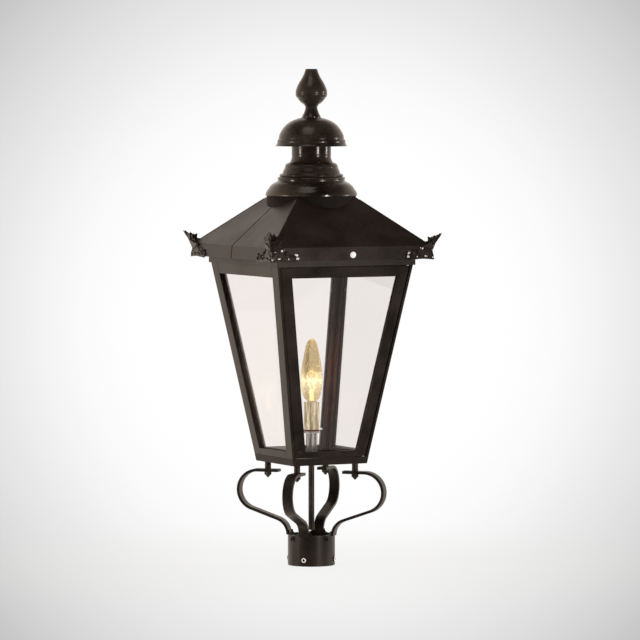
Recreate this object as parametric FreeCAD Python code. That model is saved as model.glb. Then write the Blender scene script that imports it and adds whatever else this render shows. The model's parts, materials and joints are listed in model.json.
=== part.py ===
import FreeCAD, Part
import math
import os

# Post top lantern. Millimetres, +Z up. The origin is the centre of the post socket's mouth.
# The door is in the -Y face. The faces are called front (-Y), right (+X), back (+Y) and left (-X).

# --- post collar and legs ---
collar_outer_r = 41.25
collar_wall = 3.0
collar_rim_z = 53.6          # the rim between two legs
collar_lug_z = 60.0          # the rim beside a leg
collar_lug_cheek = 3.0
collar_fillet_r = 6.0
leg_count = 4
leg_width = 18.0
leg_thickness = 5.0
leg_fit = 0.1
leg_free_end_r = 59.0        # the short inner end of the top strap
leg_bow_r = 34.5             # the upper bend, on the middle of the strap
leg_bow_centre_r = 98.0
leg_slope_deg = 19.3         # the straight run between the two bends
leg_foot_bend_r = 28.5
leg_seat_z = 52.0             # the floor of the notches that the legs stand in
leg_bolt_circle_r = 80.0
bolt_r = 3.0
bolt_clearance = 0.2
thread_fit = 0.02
bolt_head_r = 5.5
bolt_head_h = 4.0
spacer_h = 14.0
spacer_r = 5.5
leg_nut_r = 7.0
leg_nut_h = 5.0
leg_nut_tip_h = 5.0
leg_nut_tip_r = 1.2
set_screw_r = 4.0
set_screw_key_r = 2.2
set_screw_key_depth = 2.5
set_screw_stand_out = 2.2
set_screw_bore_gap = 0.4
set_screw_low_z = 11.0
set_screw_high_z = 47.0
set_screw_high_turn_deg = 11.0

# --- body ---
base_z = 180.0
base_half = 72.0
eaves_z = 527.0              # the underside of the cornice
eaves_half = 131.1
pan_h = 12.0
pan_floor = 2.5
pan_rim = 8.0
bar_thickness = 5.0
stile_width = 24.0
bottom_rail_h = 11.5
top_rail_h = 18.5
cornice_h = 11.2
cornice_overhang = 2.9         # past the body's outer faces
cornice_width = 16.0
pane_thickness = 3.0
pane_gap = 0.2
pane_lap = 7.0
retainer_wall = 2.5
retainer_lip = 5.0

# --- door ---
door_thickness = 6.5
door_side_gap = 0.8
door_end_gap = 1.5
door_stile = 20.0
door_top_rail = 18.0
door_bottom_rail = 10.5
door_rebate = 6.0
door_rebate_depth = 3.3
door_bead_thickness = 2.0
door_bead_lap = 1.0
mitre_line_width = 0.5
mitre_line_depth = 0.4
stop_lip_width = 4.5
stop_lip_thickness = 3.0
stop_lip_gap = 0.3
pivot_pin_r = 2.0
pivot_clearance = 0.05
pivot_pin_in_door = 9.0
pivot_pin_in_frame = 5.0
pivot_end_gap = 1.0

# --- door catch ---
catch_corner_distance = 13.5
catch_z = 205.0
catch_knob_r = 4.2
catch_knob_h = 4.0
catch_face_gap = 0.3
catch_spindle_r = 2.0
catch_cam_reach = 7.2
catch_cam_width = 5.0
catch_cam_thickness = 2.5
catch_cam_gap = 0.4

# --- lamp ---
conduit_r = 5.25
conduit_wall = 1.25
conduit_above_rim = 1.0        # the tube ends this far above the collar's rim
conduit_above_floor = 14.0
lock_nut_r = 9.0
lock_nut_h = 4.0
seat_gap = 0.3
stem_r = 10.0
stem_wall = 1.5
holder_z = 231.0
holder_flange_r = 13.5
holder_flange_h = 3.0
holder_r = 11.0
sleeve_r = 13.5
sleeve_wall = 1.2
sleeve_h = 51.0
bulb_cap_r = 7.0
bulb_cap_depth = 18.0
bulb_rim_r = 8.6
bulb_rim_h = 3.0
bulb_z = 288.0
bulb_neck_r = 8.4
bulb_r = 19.0
bulb_waist_z = 316.0
bulb_top_z = 396.0
bulb_glass_wall = 0.8
filament_r = 0.5
filament_spread = 7.0
filament_h = 52.0
filament_stem_r = 3.0
filament_stem_h = 20.0
terminal_length = 34.0
terminal_width = 16.0
terminal_h = 7.0
terminal_place_x = -32.0

# --- roof ---
lid_gap = 0.3
sheet = 1.5
fascia_h = 22.5
fascia_overhang = 22.3       # from the cornice to the fascia's lower edge
fascia_lean = 2.8            # the upper edge is this far inside the lower one
roof_pitch_deg = 40.59
seam_width = 1.2
seam_strip_width = 20.0
seam_strip_thickness = 1.0
soffit_over_cornice = 14.0
soffit_fit = 0.15

# --- chimney ---
turned_wall = 1.6
vent_collar_r = 77.8
vent_collar_wall = 2.0
vent_collar_below_roof = 14.0
vent_collar_above_roof = 19.9
skirt_overhang = 2.2
skirt_h = 57.2
neck_r = 34.4
neck_wall = 1.5
neck_h = 36.0
neck_foot = 3.6
cap_above_skirt = 28.7
cap_rim_r = 63.2
cap_h = 49.8
cap_crown = 4.7
finial_h = 84.5
finial_r = 27.4
finial_waist_r = 10.3
finial_tip_r = 9.4
rod_r = 4.0
rod_nut_r = 8.0
rod_nut_h = 6.0
bridge_width = 22.0
bridge_thickness = 4.0
bridge_up_collar = 6.0
rod_below_bridge = 12.0
rod_in_finial = 14.0

# --- roof hinge, screw and tab ---
hinge_pivot_inside = 16.3      # from the fascia's lower edge in to the pin
hinge_pivot_below = 4.5
hinge_spacing = 140.0
hinge_knuckle_r = 4.0
hinge_centre_knuckle = 24.0
hinge_side_knuckle = 15.0
hinge_knuckle_gap = 0.5
hinge_leaf_thickness = 3.0
hinge_pin_r = 2.0
hinge_pin_stand_out = 1.5
screw_z = 547.5
screw_r = 2.5
screw_clearance = 0.08
screw_head_r = 3.9
screw_head_h = 4.5
screw_head_gap = 0.9
screw_nut_half = 4.5
screw_nut_h = 5.0
tab_gap = 1.5
tab_nut_gap = 0.5
tab_thickness = 2.2
tab_width = 18.0
tab_foot = 2.4
tab_over_cornice = 4.0
tab_slot_clearance = 0.8
tab_top_above_screw = 6.5
tab_notch_gap = 1.2

# --- corner ornaments ---
ornament_thickness = 1.2
ornament_gap = 0.15
ornament_drop = 2.0          # below the fascia's edge
wing_length = 57.0
wing_shoulder_h = 24.0
leaf_root_h = 19.0
leaf_length = 29.0
leaf_lobe_length = 7.5
leaf_lean_deg = 27.0
pierced_r = 1.9
rivet_r = 2.0
rivet_stand_out = 1.5
rivet_h = 4.5
rivet_share = 0.71

# --- worked out from the sizes above ---
V = FreeCAD.Vector
Z_AXIS = V(0, 0, 1)
taper = (eaves_half - base_half) / (eaves_z - base_z)
sec = math.sqrt(1 + taper * taper)
outward = V(0, -1 / sec, -taper / sec)       # the front face's normal
sill_z = base_z + pan_h
leg_top_z = base_z - spacer_h
leg_bow_z = leg_top_z - leg_thickness / 2 - leg_bow_r
cornice_top_z = eaves_z + cornice_h
fascia_z = cornice_top_z + lid_gap
fascia_top_z = fascia_z + fascia_h
cornice_half = eaves_half + cornice_overhang
cornice_inner_half = cornice_half - cornice_width
fascia_half = cornice_half + fascia_overhang     # across the fascia's lower edge, halved
fascia_top_half = fascia_half - fascia_lean
soffit_inner_half = cornice_half - soffit_over_cornice
hinge_pivot_y = fascia_half - hinge_pivot_inside
roof_slope = math.tan(math.radians(roof_pitch_deg))
apex_z = fascia_top_z + roof_slope * fascia_top_half
roof_hole_z = apex_z - roof_slope * vent_collar_r
skirt_rim_z = roof_hole_z + vent_collar_above_roof
skirt_top_z = skirt_rim_z + skirt_h
cap_rim_z = skirt_top_z + cap_above_skirt
cap_top_z = cap_rim_z + cap_h
cap_crown_z = cap_top_z - cap_crown
vent_collar_z = roof_hole_z - vent_collar_below_roof
bridge_z = vent_collar_z + bridge_up_collar
roof_sec = math.sqrt(1 + roof_slope * roof_slope)
pivot_depth = door_thickness / 2
pivot_edge = (bar_thickness + door_side_gap + pivot_depth) * sec
door_bottom_z = sill_z + door_end_gap
door_top_z = eaves_z - door_end_gap
stop_lip_depth = door_thickness + stop_lip_gap
collar_bore_r = collar_outer_r - collar_wall
pan_top_of_floor = base_z + pan_floor


def half_width(z):
    """Half the body's width at height z, on its outer faces."""
    return base_half + taper * (z - base_z)


def edge(side, gap, z):
    """A line that runs up a face, a gap inside its left (-1) or right (1) corner."""
    return side * (half_width(z) - gap)


def block(bottom, top, z0, z1):
    """A solid with flat sides between two four-sided outlines at z0 and z1."""
    low = [V(x, y, z0) for x, y in bottom]
    high = [V(x, y, z1) for x, y in top]
    faces = [Part.Face(Part.makePolygon(low + low[:1])), Part.Face(Part.makePolygon(high + high[:1]))]
    for i in range(4):
        j = (i + 1) % 4
        ring = [low[i], low[j], high[j], high[i], low[i]]
        faces.append(Part.Face(Part.makePolygon(ring)))
    solid = Part.Solid(Part.Shell(faces))
    if solid.Volume < 0:
        solid.reverse()
    return solid


def square(half):
    return [(-half, -half), (half, -half), (half, half), (-half, half)]


def box_about(half_x, half_y, z0, z1):
    return Part.makeBox(2 * half_x, 2 * half_y, z1 - z0, V(-half_x, -half_y, z0))


def face_piece(z0, z1, left, right, depth0, depth1):
    """A flat piece in the front face. left and right are (side, gap), depths are square to the face."""
    outlines = []
    for z in (z0, z1):
        x0, x1 = edge(*left, z), edge(*right, z)
        y0 = -(half_width(z) - depth0 * sec)
        y1 = -(half_width(z) - depth1 * sec)
        outlines.append([(x0, y0), (x1, y0), (x1, y1), (x0, y1)])
    return block(outlines[0], outlines[1], z0, z1)


def on_face(shape, quarter):
    """Turns a front-face shape to the right (1), back (2) or left (3) face."""
    turned_shape = shape.copy()
    turned_shape.rotate(V(0, 0, 0), Z_AXIS, 90 * quarter)
    return turned_shape


def tube(r_out, r_in, z0, z1, x=0.0, y=0.0):
    outer = Part.makeCylinder(r_out, z1 - z0, V(x, y, z0))
    return outer.cut(Part.makeCylinder(r_in, z1 - z0, V(x, y, z0)))


def hexagon(flat_r, z0, z1, x=0.0, y=0.0):
    corner_r = flat_r / math.cos(math.radians(30))
    points = [
        V(x + corner_r * math.cos(math.radians(60 * i)), y + corner_r * math.sin(math.radians(60 * i)), z0)
        for i in range(7)
    ]
    return Part.Face(Part.makePolygon(points)).extrude(V(0, 0, z1 - z0))


def turned(outline):
    """Revolves an outline about the Z axis. A point is (r, z), or (r, z, via_r, via_z) for an arc to it."""
    edges = []
    here = V(outline[0][0], 0, outline[0][1])
    for point in outline[1:] + outline[:1]:
        there = V(point[0], 0, point[1])
        if len(point) == 4:
            edges.append(Part.Arc(here, V(point[2], 0, point[3]), there).toShape())
        elif (there - here).Length > 1e-6:
            edges.append(Part.LineSegment(here, there).toShape())
        here = there
    return Part.Face(Part.Wire(edges)).revolve(V(0, 0, 0), Z_AXIS, 360)


def flat_outline(points):
    """A face in the XZ plane. A point is (x, z), or (x, z, via_x, via_z) for an arc to it."""
    edges = []
    here = V(points[0][0], 0, points[0][1])
    for point in points[1:] + points[:1]:
        there = V(point[0], 0, point[1])
        if len(point) == 4:
            edges.append(Part.Arc(here, V(point[2], 0, point[3]), there).toShape())
        elif (there - here).Length > 1e-6:
            edges.append(Part.LineSegment(here, there).toShape())
        here = there
    return Part.Face(Part.Wire(edges))


def group(shapes):
    return Part.makeCompound(shapes)


def save(name, shape):
    shape.exportStep("parts/" + name + ".step")


# --- post collar and legs ---

def leg_angles():
    return [45 + 360 / leg_count * i for i in range(leg_count)]


def leg_bends():
    """The slope's sine and cosine, and the centre of the lower bend, whose inner side ends at the bore."""
    slope = math.radians(leg_slope_deg)
    sine, cosine = math.sin(slope), math.cos(slope)
    foot_centre_r = collar_bore_r + leg_fit + leg_thickness / 2 + leg_foot_bend_r
    bow_end = (leg_bow_centre_r + leg_bow_r * sine, leg_bow_z - leg_bow_r * cosine)
    foot_start_r = foot_centre_r - leg_foot_bend_r * sine
    foot_start_z = bow_end[1] - (bow_end[0] - foot_start_r) * math.tan(slope)
    foot_z = foot_start_z - leg_foot_bend_r * cosine
    return sine, cosine, foot_centre_r, foot_z


def leg(angle):
    """A flat bar bent in an S: top strap, bow, straight run, and a bend down into the collar."""
    sine, cosine, foot_r, foot_z = leg_bends()
    half = leg_thickness / 2
    outer, inner = leg_bow_r + half, leg_bow_r - half
    foot_out, foot_in = leg_foot_bend_r - half, leg_foot_bend_r + half
    mid = math.radians((90 - (90 - leg_slope_deg)) / 2)
    bend = math.radians(180 - (90 - leg_slope_deg) / 2)
    centre_r, centre_z = leg_bow_centre_r, leg_bow_z
    profile = flat_outline([
        (leg_free_end_r, leg_top_z),
        (centre_r, leg_top_z),
        (centre_r + outer * sine, centre_z - outer * cosine,
         centre_r + outer * math.cos(mid), centre_z + outer * math.sin(mid)),
        (foot_r - foot_out * sine, foot_z + foot_out * cosine),
        (foot_r - foot_out, foot_z,
         foot_r + foot_out * math.cos(bend), foot_z + foot_out * math.sin(bend)),
        (foot_r - foot_out, leg_seat_z - leg_thickness),
        (foot_r - foot_in, leg_seat_z - leg_thickness),
        (foot_r - foot_in, foot_z),
        (foot_r - foot_in * sine, foot_z + foot_in * cosine,
         foot_r + foot_in * math.cos(bend), foot_z + foot_in * math.sin(bend)),
        (centre_r + inner * sine, centre_z - inner * cosine),
        (centre_r, leg_top_z - leg_thickness,
         centre_r + inner * math.cos(mid), centre_z + inner * math.sin(mid)),
        (leg_free_end_r, leg_top_z - leg_thickness),
    ])
    bar = profile.extrude(V(0, leg_width, 0))
    bar.translate(V(0, -leg_width / 2, 0))
    hole = Part.makeCylinder(bolt_r + bolt_clearance, leg_thickness * 2,
                             V(leg_bolt_circle_r, 0, leg_top_z - leg_thickness * 1.5))
    bar = bar.cut(hole).cut(box_about(leg_bow_centre_r, leg_bow_centre_r, 0, leg_seat_z))
    bar.rotate(V(0, 0, 0), Z_AXIS, angle)
    return bar


def post_collar():
    """A tube over the post. Its rim dips between the legs, which stand in notches."""
    body = tube(collar_outer_r, collar_bore_r, 0, collar_lug_z)
    lug_half = leg_width / 2 + leg_fit + collar_lug_cheek
    dip_half = collar_outer_r * math.sin(math.radians(45) - math.asin(lug_half / collar_outer_r))
    reach = collar_outer_r + collar_wall
    r = collar_fillet_r
    corner = r * (1 - math.sqrt(0.5))
    top = collar_lug_z + r
    dip = flat_outline([
        (-dip_half, top),
        (-dip_half, collar_rim_z + r),
        (-dip_half + r, collar_rim_z, -dip_half + corner, collar_rim_z + corner),
        (dip_half - r, collar_rim_z),
        (dip_half, collar_rim_z + r, dip_half - corner, collar_rim_z + corner),
        (dip_half, top),
    ]).extrude(V(0, -reach, 0))
    notch_half = leg_width / 2 + leg_fit
    notch = Part.makeBox(reach, 2 * notch_half, top, V(0, -notch_half, leg_seat_z))
    for i, angle in enumerate(leg_angles()):
        body = body.cut(on_face(dip, i))
        cut = notch.copy()
        cut.rotate(V(0, 0, 0), Z_AXIS, angle)
        body = body.cut(cut)
    for angle, z in set_screw_places():
        hole = Part.makeCylinder(set_screw_r + thread_fit, reach, V(0, 0, z), V(1, 0, 0))
        hole.rotate(V(0, 0, 0), Z_AXIS, angle)
        body = body.cut(hole)
    return body


def set_screw_places():
    low = [(angle, set_screw_low_z) for angle in leg_angles()]
    high = [(angle - 45 + set_screw_high_turn_deg, set_screw_high_z) for angle in leg_angles()]
    return low + high


def set_screws():
    screws = []
    start = collar_bore_r + set_screw_bore_gap
    length = collar_wall + set_screw_stand_out - set_screw_bore_gap
    for angle, z in set_screw_places():
        screw = Part.makeCylinder(set_screw_r, length, V(start, 0, z), V(1, 0, 0))
        socket = hexagon(set_screw_key_r, 0, set_screw_key_depth)
        socket.rotate(V(0, 0, 0), V(0, 1, 0), 90)
        socket.translate(V(start + length - set_screw_key_depth, 0, z))
        screw = screw.cut(socket)
        screw.rotate(V(0, 0, 0), Z_AXIS, angle)
        screws.append(screw)
    return group(screws)


def bolt_places():
    place = []
    for angle in leg_angles():
        a = math.radians(angle)
        place.append((leg_bolt_circle_r * math.cos(a), leg_bolt_circle_r * math.sin(a)))
    return place


def leg_bolts():
    """Bolts with their heads in the base pan."""
    bolts = []
    bottom = leg_top_z - leg_thickness - leg_nut_h
    for x, y in bolt_places():
        shank = Part.makeCylinder(bolt_r, pan_top_of_floor - bottom, V(x, y, bottom))
        head = hexagon(bolt_head_r, pan_top_of_floor, pan_top_of_floor + bolt_head_h, x, y)
        bolts.append(shank.fuse(head).removeSplitter())
    return group(bolts)


def leg_spacers():
    return group([tube(spacer_r, bolt_r + bolt_clearance, leg_top_z, base_z, x, y) for x, y in bolt_places()])


def leg_nuts():
    """Pointed nuts under the legs' top straps."""
    nuts = []
    top = leg_top_z - leg_thickness
    bottom = top - leg_nut_h
    for x, y in bolt_places():
        nut = hexagon(leg_nut_r * math.cos(math.radians(30)), bottom, top, x, y)
        tip = Part.makeCone(leg_nut_tip_r, leg_nut_r * 0.8, leg_nut_tip_h, V(x, y, bottom - leg_nut_tip_h))
        bore = Part.makeCylinder(bolt_r + thread_fit, leg_nut_h, V(x, y, bottom))
        nuts.append(nut.fuse(tip).cut(bore))
    return group(nuts)


# --- body ---

def base_pan():
    """A shallow tray: the legs bolt to its floor and the corner posts stand on its rim."""
    tray = block(square(half_width(base_z)), square(half_width(sill_z)), base_z, sill_z)
    inner_low = half_width(pan_top_of_floor) - pan_rim
    inner_high = half_width(sill_z) - pan_rim
    tray = tray.cut(block(square(inner_low), square(inner_high), pan_top_of_floor, sill_z))
    for x, y in bolt_places():
        tray = tray.cut(Part.makeCylinder(bolt_r + bolt_clearance, pan_floor, V(x, y, base_z)))
    tray = tray.cut(Part.makeCylinder(conduit_r + bolt_clearance, pan_floor, V(0, 0, base_z)))
    low = sill_z - pivot_pin_in_frame - pivot_end_gap
    return tray.cut(pivot_rod(pivot_pin_r + pivot_clearance, low, door_bottom_z))


def corner_strip(side):
    gaps = (0, stile_width) if side < 0 else (stile_width, 0)
    return face_piece(sill_z, eaves_z, (side, gaps[0]), (side, gaps[1]), 0, bar_thickness)


def back_post(quarter):
    """An angle bar between a face and the next one round."""
    return on_face(corner_strip(1), quarter).fuse(on_face(corner_strip(-1), quarter + 1)).removeSplitter()


def stop_lip(side):
    near = bar_thickness * sec
    far = near + stop_lip_width
    gaps = sorted([near, far], reverse=side > 0)
    return face_piece(sill_z, eaves_z, (side, gaps[0]), (side, gaps[1]),
                      stop_lip_depth, stop_lip_depth + stop_lip_thickness)


def front_left_post():
    return on_face(corner_strip(1), 3).fuse(stop_lip(-1)).removeSplitter()


def front_right_post():
    return on_face(corner_strip(-1), 1).fuse(stop_lip(1)).removeSplitter()


def rail(z0, z1, quarter):
    return on_face(face_piece(z0, z1, (-1, stile_width), (1, stile_width), 0, bar_thickness), quarter)


def bottom_rails():
    return group([rail(sill_z, sill_z + bottom_rail_h, quarter) for quarter in (1, 2, 3)])


def top_rails():
    return group([rail(eaves_z - top_rail_h, eaves_z, quarter) for quarter in (1, 2, 3)])


def eaves_frame():
    """The square ring that ties the posts and carries the roof. Its edge is the cornice line."""
    ring = box_about(cornice_half, cornice_half, eaves_z, cornice_top_z)
    ring = ring.cut(box_about(cornice_inner_half, cornice_inner_half, eaves_z, cornice_top_z))
    high = eaves_z + pivot_pin_in_frame + pivot_end_gap
    return ring.cut(pivot_rod(pivot_pin_r + pivot_clearance, door_top_z, high))


def pane_limits(grow):
    """Heights and side gap of a fixed pane's outline, grown by a margin all round."""
    low = sill_z + bottom_rail_h - pane_lap - grow
    high = eaves_z - top_rail_h + pane_lap + grow
    return low, high, stile_width - pane_lap - grow


def fixed_pane(quarter):
    low, high, gap = pane_limits(0)
    depth = bar_thickness + pane_gap
    return on_face(face_piece(low, high, (-1, gap), (1, gap), depth, depth + pane_thickness), quarter)


def pane_retainer(quarter):
    """A rim round the pane's edge, with a lip behind the pane."""
    low, high, gap = pane_limits(pane_gap + retainer_wall)
    back = bar_thickness + 2 * pane_gap + pane_thickness
    body = face_piece(low, high, (-1, gap), (1, gap), bar_thickness, back + retainer_wall)
    low, high, gap = pane_limits(pane_gap)
    body = body.cut(face_piece(low, high, (-1, gap), (1, gap), 0, back))
    low, high, gap = pane_limits(-retainer_lip)
    body = body.cut(face_piece(low, high, (-1, gap), (1, gap), 0, back + 2 * retainer_wall))
    return on_face(body, quarter)


def terminal_block():
    return Part.makeBox(terminal_length, terminal_width, terminal_h,
                        V(terminal_place_x - terminal_length / 2, -terminal_width / 2, pan_top_of_floor))


# --- door ---

def pivot_point(z):
    return V(half_width(z) - pivot_edge, -(half_width(z) - pivot_depth * sec), z)


def pivot_rod(r, z0, z1):
    """A rod on the door's pivot line, from height z0 to height z1 on the line."""
    start, end = pivot_point(z0), pivot_point(z1)
    return Part.makeCylinder(r, (end - start).Length, start, end - start)


def door_opening(margin, depth0, depth1):
    side = bar_thickness * sec + door_side_gap * sec + door_stile - margin
    return face_piece(door_bottom_z + door_bottom_rail - margin, door_top_z - door_top_rail + margin,
                      (-1, side), (1, side), depth0, depth1)


def face_point(x, z, depth=0.0):
    return V(x, -(half_width(z) - depth * sec), z)


def mitre_line(outer, inner):
    """A fine groove between two (x, z) points on the door's front."""
    a, b = face_point(*outer), face_point(*inner)
    across = (b - a).cross(outward).normalize() * (mitre_line_width / 2)
    start = outward * mitre_line_depth
    ring = [a - across + start, b - across + start, b + across + start, a + across + start]
    return Part.Face(Part.makePolygon(ring + ring[:1])).extrude(outward * (-2 * mitre_line_depth))


def door_frame():
    """Mitred frame. Its hinge edge is round about the pivot line, so it clears the post."""
    free_gap = (bar_thickness + door_side_gap) * sec
    frame = face_piece(door_bottom_z, door_top_z, (-1, free_gap), (1, pivot_edge), 0, door_thickness)
    round_edge = pivot_rod(door_thickness / 2, door_bottom_z - door_thickness, door_top_z + door_thickness)
    wide = half_width(door_top_z)
    frame = frame.fuse(round_edge.common(box_about(wide, wide, door_bottom_z, door_top_z)))
    frame = frame.cut(door_opening(0, -1, door_thickness + 1))
    frame = frame.cut(door_opening(door_rebate, door_rebate_depth, door_thickness + 1))
    inner_gap = free_gap + door_stile
    low, high = door_bottom_z + door_bottom_rail, door_top_z - door_top_rail
    for side in (-1, 1):
        gap = free_gap if side < 0 else pivot_edge
        for z_out, z_in in ((door_bottom_z, low), (door_top_z, high)):
            outer, inner = (edge(side, gap, z_out), z_out), (edge(side, inner_gap, z_in), z_in)
            frame = frame.cut(mitre_line(outer, inner))
    spindle_hole = catch_cylinder(catch_spindle_r + pivot_clearance, -1, door_thickness + 1)
    holes = pivot_rod(pivot_pin_r + thread_fit, door_bottom_z - 1, door_bottom_z + pivot_pin_in_door)
    top_hole = pivot_rod(pivot_pin_r + thread_fit, door_top_z - pivot_pin_in_door, door_top_z + 1)
    return frame.cut(spindle_hole).cut(holes).cut(top_hole)


def door_pane():
    depth = door_rebate_depth + pane_gap / 2
    return door_opening(door_rebate - pane_gap, depth, depth + pane_thickness)


def door_bead():
    """A flat frame behind the door's pane."""
    depth = door_thickness + pane_gap / 4
    bead = door_opening(door_rebate + door_bead_lap, depth, depth + door_bead_thickness)
    return bead.cut(door_opening(0, 0, depth + 2 * door_bead_thickness))


def door_pins():
    low = pivot_rod(pivot_pin_r, sill_z - pivot_pin_in_frame, door_bottom_z + pivot_pin_in_door)
    high = pivot_rod(pivot_pin_r, door_top_z - pivot_pin_in_door, eaves_z + pivot_pin_in_frame)
    return group([low, high])


# --- door catch ---

def catch_centre():
    return face_point(edge(-1, catch_corner_distance, catch_z), catch_z)


def catch_cylinder(r, depth0, depth1):
    return Part.makeCylinder(r, depth1 - depth0, catch_centre() - outward * depth0, outward * -1)


def catch_knob():
    """A small round knob outside, on a spindle that carries the cam."""
    cam_back = stop_lip_depth + stop_lip_thickness + catch_cam_gap + catch_cam_thickness
    knob = catch_cylinder(catch_knob_r, -catch_face_gap - catch_knob_h, -catch_face_gap)
    knob = knob.makeFillet(catch_knob_r * 0.3, [e for e in knob.Edges if far_end(e)])
    return knob.fuse(catch_cylinder(catch_spindle_r, -catch_face_gap, cam_back)).removeSplitter()


def far_end(candidate):
    """True for the round edge on the knob's outer end."""
    if not isinstance(candidate.Curve, Part.Circle):
        return False
    return (candidate.Curve.Center - catch_centre()).dot(outward) > catch_face_gap + catch_knob_h / 2


def catch_cam():
    """A flat bar on the spindle. At rest it points up the stile, a quarter turn puts it behind the lip."""
    depth = stop_lip_depth + stop_lip_thickness + catch_cam_gap
    up = V(0, -taper, 1).normalize()
    side = up.cross(outward).normalize() * (catch_cam_width / 2)
    start = catch_centre() - outward * depth
    low, high = start - up * (catch_cam_width / 2), start + up * catch_cam_reach
    ring = [low - side, low + side, high + side, high - side, low - side]
    cam = Part.Face(Part.makePolygon(ring)).extrude(outward * -catch_cam_thickness)
    return cam.cut(catch_cylinder(catch_spindle_r + thread_fit, 0, depth + 2 * catch_cam_thickness))


# --- lamp ---

def conduit_tube():
    low, high = collar_lug_z + conduit_above_rim, pan_top_of_floor + conduit_above_floor
    return tube(conduit_r, conduit_r - conduit_wall, low, high)


def conduit_lock_nuts():
    nuts = []
    for z in (pan_top_of_floor, base_z - lock_nut_h):
        bore = Part.makeCylinder(conduit_r + thread_fit, lock_nut_h, V(0, 0, z))
        nuts.append(hexagon(lock_nut_r, z, z + lock_nut_h).cut(bore))
    return group(nuts)


def lamp_stem():
    return tube(stem_r, stem_r - stem_wall, pan_top_of_floor + lock_nut_h, holder_z)


def lamp_holder():
    """Flange and body, bored for the bulb's cap."""
    top = bulb_z - bulb_rim_h - seat_gap
    flange = Part.makeCylinder(holder_flange_r, holder_flange_h, V(0, 0, holder_z))
    body = Part.makeCylinder(holder_r, top - holder_z, V(0, 0, holder_z))
    bottom = top - bulb_cap_depth
    bore = Part.makeCylinder(bulb_cap_r + thread_fit, top - bottom, V(0, 0, bottom))
    return flange.fuse(body).cut(bore)


def candle_sleeve():
    bottom = holder_z + holder_flange_h
    return tube(sleeve_r, sleeve_r - sleeve_wall, bottom, bottom + sleeve_h)


def bulb_cap():
    low = bulb_z - bulb_rim_h
    screw = Part.makeCylinder(bulb_cap_r, bulb_cap_depth, V(0, 0, low - bulb_cap_depth))
    return screw.fuse(Part.makeCylinder(bulb_rim_r, bulb_rim_h, V(0, 0, low)))


def bulb_glass():
    """A flame-shaped glass shell that stands on the cap."""
    wall = bulb_glass_wall
    waist, top = bulb_waist_z, bulb_top_z
    rise = top - waist
    return turned([
        (bulb_neck_r, bulb_z),
        (bulb_r, waist, bulb_neck_r + (bulb_r - bulb_neck_r) * 0.72, bulb_z + (waist - bulb_z) * 0.45),
        (bulb_r * 0.52, waist + rise * 0.62, bulb_r * 0.88, waist + rise * 0.32),
        (wall, top, bulb_r * 0.19, waist + rise * 0.86),
        (0, top),
        (0, top - 3 * wall),
        (bulb_r * 0.52 - wall, waist + rise * 0.62, bulb_r * 0.19 - wall / 2, waist + rise * 0.84),
        (bulb_r - wall, waist, bulb_r * 0.88 - wall, waist + rise * 0.32),
        (bulb_neck_r - wall, bulb_z,
         bulb_neck_r + (bulb_r - bulb_neck_r) * 0.72 - wall, bulb_z + (waist - bulb_z) * 0.45),
    ])


def filament():
    """A glass stem with two wires and the glowing loop between them."""
    stem = Part.makeCone(filament_stem_r, filament_stem_r / 2, filament_stem_h, V(0, 0, bulb_z))
    top = bulb_z + filament_h
    knee = bulb_z + filament_stem_h * 0.8
    path = [V(-filament_stem_r / 3, 0, knee), V(-filament_spread, 0, top - filament_spread),
            V(0, 0, top), V(filament_spread, 0, top - filament_spread), V(filament_stem_r / 3, 0, knee)]
    wire = Part.makeSphere(filament_r, path[0])
    for a, b in zip(path, path[1:]):
        wire = wire.fuse(Part.makeCylinder(filament_r, (b - a).Length, a, b - a))
        wire = wire.fuse(Part.makeSphere(filament_r, b))
    return stem.fuse(wire)


# --- roof ---

def roof_form(inset):
    """The roof's outer form, or with an inset the space inside its sheet."""
    eave_inset = inset * roof_sec / (roof_slope + roof_sec) * 2
    low_half = fascia_half - inset
    top_half = fascia_top_half - eave_inset
    drop = inset * roof_sec
    apex = apex_z - drop
    eave = apex - roof_slope * top_half
    low = block(square(low_half), square(top_half), fascia_z, eave)
    high_half = (vent_collar_r - vent_collar_wall) * 0.3
    return low.fuse(block(square(top_half), square(high_half), eave, apex - roof_slope * high_half))


def roof_shell():
    """Pyramid and fascia in sheet, bent round and closed at a seam in the left face."""
    shell = roof_form(0).cut(roof_form(sheet))
    hole = Part.makeCylinder(vent_collar_r + soffit_fit, apex_z, V(0, 0, fascia_z))
    shell = shell.cut(hole)
    seam = Part.makeBox(fascia_half, seam_width, apex_z, V(-2 * fascia_half, -seam_width / 2, 0))
    seam.translate(V(fascia_half - vent_collar_r + vent_collar_wall, 0, 0))
    seam = seam.cut(box_about(vent_collar_r, vent_collar_r, 0, apex_z))
    shell = shell.cut(seam)
    shank = Part.makeCylinder(screw_r + screw_clearance, fascia_half, V(0, 0, screw_z), V(0, -1, 0))
    return shell.cut(shank)


def seam_strip():
    """A strip behind the seam, bent as the roof is."""
    form = roof_form(sheet + soffit_fit).cut(roof_form(sheet + soffit_fit + seam_strip_thickness))
    keep = Part.makeBox(fascia_half - vent_collar_r - 2, seam_strip_width, apex_z,
                        V(-fascia_half, -seam_strip_width / 2, fascia_z + 2 * sheet))
    return form.common(keep)


def soffit():
    """A flat ring that closes the eaves from below. It rests on the eaves frame."""
    outer = fascia_half_at(fascia_z + 2 * sheet) - sheet - soffit_fit
    ring = box_about(outer, outer, fascia_z, fascia_z + sheet)
    ring = ring.cut(box_about(soffit_inner_half, soffit_inner_half, fascia_z, fascia_z + sheet))
    notch_half = tab_width / 2 + tab_notch_gap
    return ring.cut(Part.makeBox(2 * notch_half, outer, sheet, V(-notch_half, -outer, fascia_z)))


def vent_collar():
    return tube(vent_collar_r, vent_collar_r - vent_collar_wall, vent_collar_z, skirt_rim_z)


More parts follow.
